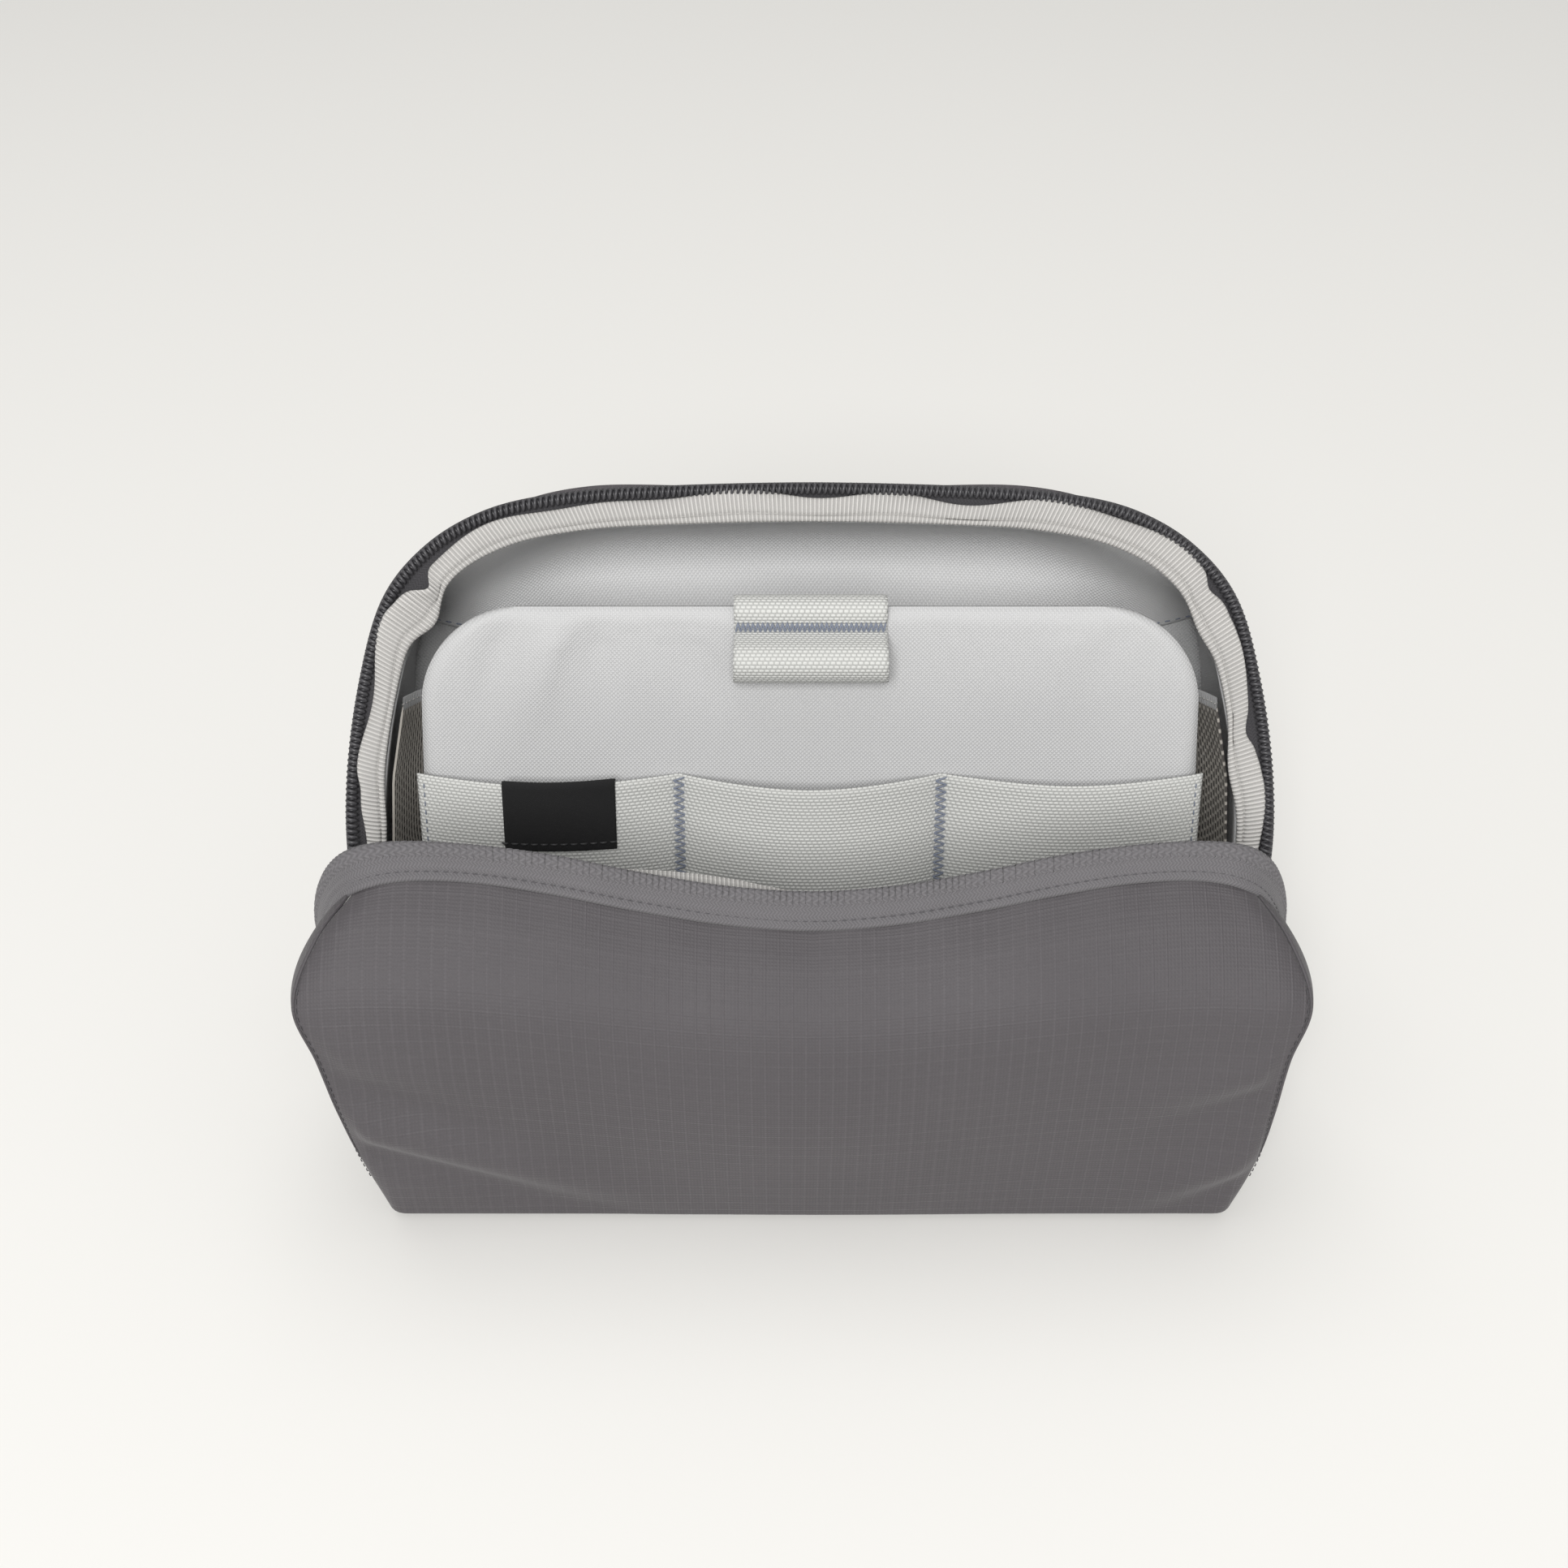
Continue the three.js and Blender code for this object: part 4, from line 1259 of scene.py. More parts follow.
@dataclass
class BackWall:
    """The tall back wall, its side and top walls, linings, pockets and half of the zip."""

    plane: Frame2 = field(default_factory=lambda: Frame2((BASE_DEPTH, 1.6), 24.6))
    height: float = 138.0
    half_width: float = 110.0
    foot_half_width: float = 104.0
    corner: float = 54.0
    belly: float = 4.0
    hem_level: float = 104.0
    mesh_level: float = 89.0
    drape_reach: float = 0.29
    hem_share: float = 0.72
    hem_half: float = 103.5
    mesh_half: float = 105.6
    mesh_turn: float = 14.0
    seam_reach: float = 102.0
    drape_start: float = 0.66
    drape_end: float = 0.5
    drape_fall: float = -0.58
    drape_clearance: float = 6.3
    rim: list = field(default_factory=lambda: [
        (0, 112, 146.2), (41, 111.5, 145.3), (63, 110.6, 143.9), (81, 108.2, 140.6), (96, 103, 133.6),
        (107, 95, 122.6), (113, 83, 105.5), (116, 69, 87), (116.4, 58.5, 68), (113, 52.5, 47),
        (108.4, 48.5, 24),
    ])
    seam: list = field(default_factory=lambda: [
        (0, 107, 139.3), (39, 106.6, 138.5), (59, 105.8, 137.2), (75.5, 103.6, 134.4), (89, 99.2, 128.4),
        (99.4, 91.8, 118), (105, 80.8, 102.4), (108, 68, 85.2), (109, 60.5, 67), (107.6, 58.5, 47),
        (106.4, 56, 24),
    ])
    seam_foot: tuple = (105.0, 47.5, 1.2)
    facing: np.ndarray = field(default_factory=lambda: np.array([0, 0.81, -0.59]))
    bunches: tuple = (
        (-103.0, 6.5, 1.0), (106.0, 7.5, 0.5), (143.0, 9.0, 0.5), (-158.0, 9.0, 0.3), (186.0, 9.0, 0.45),
    )
    stitch_share: float = 0.26

    def outline(self, up: np.ndarray, inset: float) -> np.ndarray:
        """Half width of the panel at a level: it widens from its foot and ends in round corners."""
        spread = np.sin(math.pi / 2 * np.clip(up / 45, 0, 1))
        plain = self.foot_half_width + (self.half_width - self.foot_half_width) * spread - inset
        radius = self.corner - inset
        rise = np.maximum(0, up - (self.height - inset - radius))
        return plain - radius + np.sqrt(np.maximum(0, radius * radius - rise * rise))

    def ply(
        self, u: np.ndarray, v: np.ndarray, low: float, high: float, inset: float, forward: float,
    ) -> np.ndarray:
        """A layer of the back wall, between two levels and set in from the outline.

        Args:
            u: From 0 at the left to 1 at the right.
            v: From 0 at the low level to 1 at the high one.
            low: Lower level, in millimetres along the wall.
            high: Upper level.
            inset: Distance inside the panel's outline.
            forward: Distance in front of the wall's outer face.

        Returns:
            Layout points.
        """
        level = low + (high - low) * np.sin(math.pi / 2 * v)
        share = 2 * u - 1
        sag = self.belly * (1 - share * share) * np.sin(math.pi * np.clip(level / self.height, 0, 1))
        return self.plane.at(share * self.outline(level, inset), level, forward - sag)

    def build(self) -> None:
        """Make every piece of the back wall."""
        self.make_panels()
        self.make_pockets()
        self.make_gusset()
        self.make_tape()

    def make_panels(self) -> None:
        """Outer panel, swollen by the cloth solver, and the two parts of the lining."""
        u, v = grid(110, 80)
        face = self.ply(u, v, 0.0, self.height, 0.0, 0.0)
        sides = smooth(u, 0, 0.06) * (1 - smooth(u, 0.94, 1))
        ends = smooth(v, 0, 0.06) * (1 - smooth(v, 0.94, 1))
        edge = np.minimum(sides, ends)
        pad = 1.2 * edge + 0.5 * edge * ripple(face[..., 0] / 24, face[..., 2] / 22, 31)
        back = -self.plane.forward
        uv = (face[..., 0], arc(face, 1))
        panel = slab("back_panel", face + back * pad[..., None], -1.0, 0.0, back, uv)
        held = np.concatenate([(edge < 0.05).ravel(), np.ones(edge.size, bool)]).astype(float)
        settle(panel, held, 1.5, 2.0)
        WARDROBE.dress(panel, Finish.outer_ripstop)
        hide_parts("back_outer_panel")
        BACK_FOLD.bend(panel)
        report(panel)
        self.make_upper_lining()
        self.make_lower_lining()

    def drape(self, u: np.ndarray, v: np.ndarray) -> np.ndarray:
        """The lining between the zip and its hem.

        Each thread of it is a cubic curve that leaves the hem along the back wall and reaches the
        tape's seam from behind. The hem runs across the back wall, and at both ends it comes
        forward along the side walls to meet the seam, where the threads are straight and short.

        Args:
            u: From 0 at the left end to 1 at the right.
            v: From 0 at the hem to 1 at the seam.

        Returns:
            Layout points.
        """
        share = 2 * u - 1
        reach = 0.5 + share * self.drape_reach
        tape = self.tape_surface(reach, np.full_like(u, -0.08))
        end = self.tape_surface(np.array([[0.5 + self.drape_reach]]), np.array([[-0.08]]))[0, 0]
        across_back = np.clip(np.abs(share) / self.hem_share, 0, 1)
        side = np.clip((np.abs(share) - self.hem_share) / (1 - self.hem_share), 0, 1)
        sag = self.belly * (1 - across_back ** 2)
        level = self.hem_level - 9.0 * (1 - across_back ** 4)
        hem = self.plane.at(across_back * self.hem_half, level, 6.6 - sag)
        hem = hem + (end - hem) * side[..., None]
        hem[..., 0] *= np.sign(share)
        top = tape - self.facing * 0.6
        lean = math.radians(self.plane.lean_degrees)
        up_wall = np.array([0, math.sin(lean), math.cos(lean)])
        behind_seam = np.array([0, 1.0, self.drape_fall])
        length = np.linalg.norm(top - hem, axis=-1, keepdims=True)
        bow = (1 - 0.95 * smooth(np.abs(share), 0.3, 0.8))[..., None]
        first = hem + (top - hem) / 3 * (1 - bow) + up_wall * self.drape_start * length * bow
        second = top - (top - hem) / 3 * (1 - bow) + behind_seam * self.drape_end * length * bow
        t = v[..., None]
        rest = 1 - t
        points = hem * rest ** 3 + first * 3 * rest ** 2 * t + second * 3 * rest * t ** 2 + top * t ** 3
        foot = np.array([0.0, *self.plane.foot])
        off = np.sum((points - foot) * self.plane.forward, -1, keepdims=True)
        belly = self.belly * (1 - np.abs(share) ** 2)[..., None]
        return points + self.plane.forward * np.maximum(0.0, self.drape_clearance - off - belly)

    def make_upper_lining(self) -> None:
        """Slack lining with a folded hem, sewn by one row of stitches."""
        u, v = grid(160, 60)
        face = self.drape(u, v)
        slack = 1.1 * ripple(face[..., 0] / 16, face[..., 2] / 11, 51)
        loose = smooth(u, 0, 0.1) * (1 - smooth(u, 0.9, 1)) * (1 - smooth(v, 0.85, 1))
        face = face + self.plane.forward * (slack * loose)[..., None]
        cloth = slab("back_lining_upper", face, -0.35, 0.35, self.plane.forward, (face[..., 0], arc(face, 1)))
        # The upper back lining wears the brighter lining copy, which is painted light on a shaded surface.
        WARDROBE.dress(cloth, Stitch.back_lining)
        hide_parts("back_lining", "back_lining_hem")
        BACK_FOLD.bend(cloth)
        report(cloth)
        row = seam_row("hem_stitching", face[:, 2] + self.plane.forward * 0.42,
                       np.tile(self.plane.forward, (len(face), 1)), 2.8, 0.66, 0.24)
        WARDROBE.dress(row, Finish.thread)
        BACK_FOLD.bend(row)

    def make_lower_lining(self) -> None:
        """The lining behind the pockets."""
        u, v = grid(90, 50)
        face = self.ply(u, v, 2.0, self.hem_level + 4, 2.6, 5.0)
        slack = 0.6 * ripple(face[..., 0] / 18, face[..., 2] / 13, 52)
        face = face + self.plane.forward * (slack * (1 - smooth(v, 0.9, 1)))[..., None]
        cloth = slab("back_lining_lower", face, -0.35, 0.35, self.plane.forward, (face[..., 0], arc(face, 1)))
        WARDROBE.dress(cloth, Finish.lining)
        BACK_FOLD.bend(cloth)
        report(cloth)

    def pocket(self, share: np.ndarray, level: np.ndarray) -> np.ndarray:
        """The mesh pocket.

        It lies on the lining at its foot and stands 9 mm in front of it at its top. Near both ends
        it comes forward along the side walls to the tape's seam.

        Args:
            share: From -1 at the left end to 1 at the right.
            level: Millimetres up the wall.

        Returns:
            Layout points.
        """
        stand = 9.0 * level / self.mesh_level
        sag = self.belly * (1 - share * share) * np.sin(math.pi * level / self.height)
        half = self.mesh_half - 3.0 * (1 - smooth(level, 0, 45))
        face = self.plane.at(share * half, level, 6.6 + stand - sag)
        end = self.plane.at(half, level, 6.6 + stand)
        seam = np.array(self.seam, float)[::-1]
        tall = level / self.mesh_level * self.seam_reach
        seam_x = np.interp(tall, seam[:, 2], seam[:, 0])
        seam_y = np.interp(tall, seam[:, 2], seam[:, 1])
        edge = np.stack([seam_x - 3.2, seam_y + 2.0, tall], -1)
        move = (edge - end) * (np.abs(share) ** self.mesh_turn * smooth(level, 0, 20))[..., None]
        move[..., 0] *= np.sign(share)
        return face + move

    def make_pockets(self) -> None:
        """Mesh pocket, standing off the lining at its open top, with a bound edge."""
        u, v = grid(200, 40)
        level = 8.0 + (self.mesh_level - 2 - 8.0) * v
        share = np.sin((u - 0.5) * math.pi)
        face = self.pocket(share, level)
        pocket = slab("mesh_pocket_cloth", face, -0.3, 0.3, self.plane.forward)
        WARDROBE.dress(pocket, Finish.mesh)
        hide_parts("mesh_pocket")
        BACK_FOLD.bend(pocket)
        report(pocket)
        line = np.linspace(0, 1, 240)
        share = np.sin((line - 0.5) * math.pi)
        level = np.full_like(line, self.mesh_level - 1.5)
        path = self.pocket(share, level)
        angle = np.linspace(0, 2 * math.pi, 16, endpoint=False)
        lean = math.radians(self.plane.lean_degrees)
        up = np.array([0, math.sin(lean), math.cos(lean)])
        rings = (
            path[:, None] + np.cos(angle)[None, :, None] * up * 1.7
            + np.sin(angle)[None, :, None] * self.plane.forward * 0.85
        )
        edge = sweep("mesh_pocket_edge", rings)
        WARDROBE.dress(edge, Finish.lining)
        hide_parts("mesh_pocket_binding")
        BACK_FOLD.bend(edge)
        row = seam_row("mesh_edge_stitching", path + self.plane.forward * 1.0,
                       np.tile(self.plane.forward, (len(path), 1)), 2.4, 0.6, 0.17)
        WARDROBE.dress(row, Stitch.pale)
        BACK_FOLD.bend(row)

    def panel_edge(self) -> np.ndarray:
        """Trace the panel's outline, from the left foot over the top to the right foot.

        Returns:
            Layout points.
        """
        inset = 1.4
        reach = self.corner - inset
        centre = (self.half_width - self.corner, self.height - self.corner)
        corner_angles = np.radians([2, 26, 48, 72])
        top = [(0, self.height - inset), (centre[0] / 2, self.height - inset)]
        bend = [(centre[0] + reach * math.sin(a), centre[1] + reach * math.cos(a)) for a in corner_angles]
        side = [(float(self.outline(np.array(up), inset)), up) for up in (80.0, 66.0, 50.0, 30.0, 1.0)]
        places = np.array(top + bend + side)
        return across(self.plane.at(places[:, 0], places[:, 1], np.full(len(places), 0.9)))

    def gusset_surface(self, u: np.ndarray, v: np.ndarray) -> np.ndarray:
        """The band of cloth from the tape's seam round to the panel's edge.

        At both ends the tape's side drops from the end of the zip to the base. Between its seams
        the band swells outwards.

        Args:
            u: From 0 at the left end to 1 at the right.
            v: From 0 at the tape to 1 at the panel.

        Returns:
            Layout points.
        """
        seam = np.array([*self.seam, self.seam_foot], float)
        edge = self.panel_edge()
        middle = len(edge) // 2
        right = np.vstack([edge[middle:-1], (edge[-2] + edge[-1]) / 2, edge[-1:]])
        low = spline(across(seam), u)
        high = spline(across(right), u)
        points = low + (high - low) * v[..., None]
        out = points * np.array([1.0, 0.0, 0.0]) + np.array([0, 0, 1.0]) * np.maximum(0, points[..., 2:] - 60)
        swell = 1.6 * np.sin(math.pi * v) * smooth(points[..., 2], 4, 50)
        dent = 0.8 * ripple(u * 34, v * 3, 41) * np.sin(math.pi * v)
        return points + unit(out) * (swell + dent)[..., None]

    def make_gusset(self) -> None:
        """Top and side walls as one band, with its lining inside."""
        u, v = grid(420, 26)
        face = self.gusset_surface(u, v)
        uv = (arc(face, 0), arc(face, 1))
        band = slab("back_side_band", face, -0.45, 0.45, None, uv)
        WARDROBE.dress(band, Finish.outer_ripstop)
        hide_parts("back_gusset")
        BACK_FOLD.bend(band)
        report(band)
        lining = slab("back_side_band_lining", face, -1.7, -1.0, None, uv)
        WARDROBE.dress(lining, Finish.lining)
        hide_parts("back_gusset_lining")
        BACK_FOLD.bend(lining)
        line = np.linspace(0, 1, 700)
        path = spline(self.panel_edge(), line)
        side = unit((path - CORE) * np.array([1.0, 0.0, 1.0]))
        piping = tube("back_panel_piping", path + side * 1.0, 1.15, 12)
        WARDROBE.dress(piping, Finish.outer_ripstop)
        BACK_FOLD.bend(piping)
        report(piping)

    def tape_surface(self, u: np.ndarray, v: np.ndarray) -> np.ndarray:
        """The zip tape: straight across from its seam line to its rim line."""
        low, high = spline(across(self.seam), u), spline(across(self.rim), u)
        return low + (high - low) * v[..., None]

    def make_tape(self) -> None:
        """Zip tape, its coil on the side that shows, and the wavy binding over its foot."""
        u, v = grid(900, 10)
        face = self.tape_surface(u, v)
        wobble = 0.4 * ripple(arc(face, 0) / 11, v, 61)
        face = face + normals(face, self.facing) * wobble[..., None]
        tape = slab("back_zip_band", face, 0.0, 0.7, self.facing)
        WARDROBE.dress(tape, Finish.zip_tape)
        WARDROBE.line_slab(tape, face, Stitch.dark_tape)
        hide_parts("back_zip_tape")
        BACK_FOLD.bend(tape)
        report(tape)
        line = np.linspace(0.004, 0.996, 900)
        surface = self.tape_surface(*np.meshgrid(line, np.array([0.8, 0.84]), indexing="ij"))
        away = normals(surface, self.facing)[:, 0]
        wound = coil("back_coil", surface[:, 0] - away * 1.5, away)
        WARDROBE.dress(wound, Finish.zip_coil)
        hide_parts("back_zip_coil")
        BACK_FOLD.bend(wound)
        report(wound)
        self.make_binding()

    def make_binding(self) -> None:
        """Grosgrain over the seam: its free edge waves beside the coil and bunches at both shoulders.

        The strip runs from below the seam to its free edge, in shares of the tape's width. The edge
        is a slow swell. At a shoulder a narrow bell pulls the edge in to a notch, and a wider bell
        beside it pushes the whole strip inwards and lifts it. A valley along the strip holds its
        row of stitches.
        """
        u, v = grid(1300, 18)
        length = arc(self.tape_surface(u, v), 0)
        place = length - length.max() / 2
        notch = np.zeros_like(length)
        push = np.zeros_like(length)
        for middle, width, strength in self.bunches:
            notch += strength * np.exp(-(((place - middle) / (0.4 * width)) ** 2))
            push += strength * np.exp(-(((place - middle - 0.9 * width * np.sign(middle)) / width) ** 2))
        swell = 0.30 * ripple(length / 6.0, v * 0, 71, 4)
        low = -0.16 - 0.42 * push
        high = 0.56 + swell - 0.40 * notch - 0.16 * push
        face = self.tape_surface(u, low + (high - low) * v)
        out = normals(self.tape_surface(u, v), self.facing)
        free = smooth(v, self.stitch_share, 1.0)
        crest = 0.75 * np.sin(math.pi * v) ** 0.6 - 0.7 * np.exp(-(((v - self.stitch_share) / 0.05) ** 2))
        flutter = (1.1 * ripple(length / 4.0, v * 0, 72, 4) + 1.5 * notch + 2.4 * push) * free
        pleats = 0.28 * (notch + push) * np.sin(length / 0.8) * free
        face = face - out * (1.15 + crest + flutter + pleats)[..., None]
        strip = slab("back_grosgrain", face, -0.3, 0.3, self.facing)
        WARDROBE.dress(strip, Finish.grosgrain)
        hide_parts("back_binding")
        BACK_FOLD.bend(strip)
        report(strip)
        column = int(round(self.stitch_share * 18))
        path, away = face[:, column] - out[:, column] * 0.32, -out[:, column]
        row = seam_row("binding_stitching", path, away, 2.3, 0.6, 0.14)
        WARDROBE.dress(row, Stitch.pale)
        BACK_FOLD.bend(row)
        report(row)


# ---- organizer panel ------------------------------------------------------------------------


@dataclass
class Organizer:
    """The padded panel in the middle, with its elastic pockets, pen loop and label."""

    plane: Frame2 = field(default_factory=lambda: Frame2((52.0, 7.0), 15.0))
    height: float = 124.6
    half_width: float = 101.0
    taper: float = 5.5
    corner: float = 25.0
    cover: float = 2.6
    band_height: float = 81.0
    band_half: float = 98.4
    bulges: tuple = (6.5, 9.0, 6.5)
    elastic: float = 1.2
    loop_width: float = 38.0
    loop_bore: float = 10.2
    label_middle: float = -62.5
    label_size: tuple = (28.0, 18.0)

    def outline(self, up: np.ndarray) -> np.ndarray:
        """Half width of the panel at a level: a slight taper, then round corners."""
        plain = self.half_width - self.taper * np.clip(up / self.height, 0, 1)
        rise = np.maximum(0, up - (self.height - self.corner))
        return plain - self.corner + np.sqrt(np.maximum(0, self.corner ** 2 - rise * rise))

    def build(self) -> None:
        """Make every piece that moves with the panel."""
        self.make_panel()
        self.make_band()
        self.make_dividers()
        self.make_loop()
        self.make_label()

    def make_panel(self) -> None:
        """Padded cover: two faces that close round the edge, swollen by the cloth solver."""
        u, v = grid(100, 66)
        level = self.height * np.sin(math.pi / 2 * v)
        share = 2 * u - 1
        half = self.outline(level)
        x = share * half
        border = np.minimum(half - np.abs(x), np.minimum(level + 4, self.height - level))
        plump = np.sqrt(np.clip(1 - (1 - np.clip(border / 4.5, 0, 1)) ** 2, 0.06, 1))
        front = self.plane.at(x, level, self.cover * plump)
        back = self.plane.at(x, level, -self.cover * plump)
        slack = 0.5 * ripple(x / 13, level / 15, 81) + self.dents(x, level)
        front = front + self.plane.forward * (slack * np.clip(border / 9, 0, 1))[..., None]
        columns, rows = x.shape
        count = columns * rows
        faces = quads(columns, rows)
        number = np.arange(count).reshape(columns, rows)
        rim = np.concatenate([number[:-1, 0], number[-1, :-1], number[:0:-1, -1], number[0, :0:-1]])
        after = np.roll(rim, -1)
        wall = np.stack([rim, rim + count, after + count, after], -1)
        every = np.concatenate([faces, faces[:, ::-1] + count, wall])
        points = np.concatenate([front.reshape(-1, 3), back.reshape(-1, 3)])
        uv = np.tile(np.stack([x.ravel(), level.ravel()], -1), (2, 1))
        panel = make_mesh("organizer_panel", points, every.tolist(), uv)
        held = np.tile((border < 5).ravel(), 2).astype(float)
        settle(panel, held, 1.2, 0.35)
        WARDROBE.dress(panel, Finish.lining)
        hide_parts("organizer_front_cover", "organizer_back_cover", "organizer_foam")
        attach(panel, "organizer")
        report(panel)

    def dents(self, x: np.ndarray, level: np.ndarray) -> np.ndarray:
        """Soft folds under the top edge: bells across short lines, deepest at their upper end.

        Args:
            x: Places across the panel.
            level: Places up the panel.

        Returns:
            The height at each place, in millimetres.
        """
        total = np.zeros_like(x)
        for foot_x, top_x, width, height in (
            (-72, -60, 4.5, 1.5), (-86, -74, 5.5, -1.3), (-50, -52, 5, -1.1), (60, 66, 7, 0.8),
            (-12, -36, 8, -0.8), (38, 30, 7, -0.6),
        ):
            rise = np.clip((level - 84) / (self.height - 84), 0, 1)
            line = foot_x + (top_x - foot_x) * rise
            total += height * np.exp(-(((x - line) / width) ** 2)) * smooth(rise, 0.1, 0.9)
        return total

    def band_lift(self, x: np.ndarray, v: np.ndarray) -> np.ndarray:
        """How far the band stands forward: a bow over each pocket, none at its foot."""
        place = np.clip((x / self.band_half + 1) / 2, 0, 1) * 3
        pocket = np.clip(place.astype(int), 0, 2)
        bow = np.abs(np.sin(math.pi * place)) ** 0.75
        foot = np.sin(math.pi / 2 * np.clip(v / 0.25, 0, 1))
        return np.asarray(self.bulges)[pocket] * bow * foot

    def band_face(self, x: np.ndarray, v: np.ndarray, off: float = 0.0) -> np.ndarray:
        """The band's middle layer: x across the panel and v from its foot to its top edge."""
        dip = 0.9 * smooth(v, 0.7, 1.0) * np.sin(math.pi * (x / self.band_half + 1) * 1.5) ** 2
        forward = self.cover + 0.3 + self.elastic / 2 + self.band_lift(x, v) + off
        return self.plane.at(x, 1.0 + v * self.band_height - dip, forward)

    def make_band(self) -> None:
        """Elastic band over the panel's lower part."""
        u, v = grid(260, 60)
        x = (2 * u - 1) * self.band_half
        face = self.band_face(x, v)
        band = slab("elastic_pockets", face, -0.5, 0.5, self.plane.forward, (arc(face, 0), arc(face, 1)), 0.7)
        WARDROBE.dress(band, Finish.elastic)
        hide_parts("elastic_pocket_band")
        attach(band, "organizer")
        report(band)
        for side, word in ((-1, "left"), (1, "right")):
            line = np.linspace(0.03, 0.985, 60)
            path = self.band_face(np.full_like(line, side * (self.band_half - 1.6)), line, 0.65)
            out = np.tile(self.plane.forward, (60, 1))
            row = seam_row(f"pocket_end_stitching_{word}", path, out, 2.4, 0.6, 0.17)
            WARDROBE.dress(row, Finish.thread)
            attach(row, "organizer")

    def zigzag(self, name: str, points: np.ndarray, sway: np.ndarray, out: np.ndarray) -> bpy.types.Object:
        """Join points that sway from side to side by one stitch each."""
        flip = np.where(np.arange(len(points)) % 2, 1.0, -1.0)[:, None]
        corner = points + sway * flip
        return threads(name, corner[:-1], corner[1:], out[:-1], 0.25)

    def make_dividers(self) -> None:
        """Zigzag rows between the pockets, sewn through band and panel."""
        for side, word in ((-1, "left"), (1, "right")):
            rows = np.linspace(0.05, 0.995, 76)
            x = np.full_like(rows, side * self.band_half / 3)
            face = self.band_face(x, rows, 0.75)
            sway = np.tile([1.5, 0.0, 0.0], (len(rows), 1))
            face = face + self.plane.forward * 1.0
            out = np.tile(self.plane.forward, (len(rows), 1))
            row = self.zigzag(f"pocket_zigzag_{word}", face, sway, out)
            WARDROBE.dress(row, Finish.thread)
            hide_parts(f"pocket_divider_stitch_{word}")
            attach(row, "organizer")
            report(row)

    def make_loop(self) -> None:
        """Pen loop: over the panel's top edge, sewn through it, then out round the pen and back."""
        top = self.height + 2.2
        sewn = self.height - 5.2
        middle = sewn - 1 - self.loop_bore / 2
        bore, skin = self.loop_bore, self.cover + 1.0
        line = [
            (0, sewn - 4, -self.cover - 1.0), (0, top - 2, -self.cover - 1.0), (0, top, 0),
            (0, top - 2, skin), (0, sewn, skin), (0, middle + bore * 0.36, self.cover + bore * 0.8),
            (0, middle, self.cover + bore), (0, middle - bore * 0.4, self.cover + bore * 0.75),
            (0, middle - bore * 0.62, self.cover + 1.1),
        ]
        u, v = grid(30, 110)
        path = spline(line, v)
        x = (u - 0.5) * self.loop_width * (1 - 0.02 * np.sin(math.pi * v))
        face = self.plane.at(x, path[..., 1], path[..., 2])
        uv = (arc(face, 0), arc(face, 1))
        loop = slab("pen_loop_elastic", face, -0.5, 0.5, self.plane.forward, uv, 0.7)
        WARDROBE.dress(loop, Finish.elastic)
        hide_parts("pen_loop")
        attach(loop, "organizer")
        report(loop)
        count = 62
        x = np.linspace(-0.5, 0.5, count) * (self.loop_width - 1.5)
        points = self.plane.at(x, np.full(count, sewn + 1.2), np.full(count, self.cover + 1.75))
        sway = np.tile(self.plane.at(np.array(0.0), np.array(1.0), np.array(0.0)) - self.plane.at(
            np.array(0.0), np.array(0.0), np.array(0.0)), (count, 1)) * 1.25
        row = self.zigzag("pen_loop_zigzag", points, sway, np.tile(self.plane.forward, (count, 1)))
        WARDROBE.dress(row, Finish.thread)
        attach(row, "organizer")

    def make_label(self) -> None:
        """Blank woven label, folded over the band's top edge, with its row of stitches."""
        width, tall = self.label_size
        u, v = grid(40, 34)
        x = self.label_middle + (u - 0.5) * width
        down = tall / self.band_height
        face = self.band_face(x, 1.0 - down * (1 - np.minimum(v * 1.12, 1.0)), 1.05)
        over = smooth(v, 0.88, 1.0)
        rise = np.array([0, 0, 0.9]) * np.sin(math.pi * over)[..., None]
        face = face + self.plane.forward * (-2.3 * over)[..., None] + rise
        label = slab("blank_label", face, -0.25, 0.25, self.plane.forward, (x, v * tall), 0.6)
        WARDROBE.dress(label, Finish.label)
        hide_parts("woven_label")
        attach(label, "organizer")
        report(label)
        line = np.linspace(-0.5, 0.5, 60) * (width + 1.6)
        path = self.band_face(self.label_middle + line, np.full(60, 1.0 - down * 0.88), 1.5)
        row = seam_row("label_stitching", path, np.tile(self.plane.forward, (60, 1)), 2.4, 0.7, 0.28)
        WARDROBE.dress(row, Stitch.black)
        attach(row, "organizer")


# ---- base and hardware ----------------------------------------------------------------------


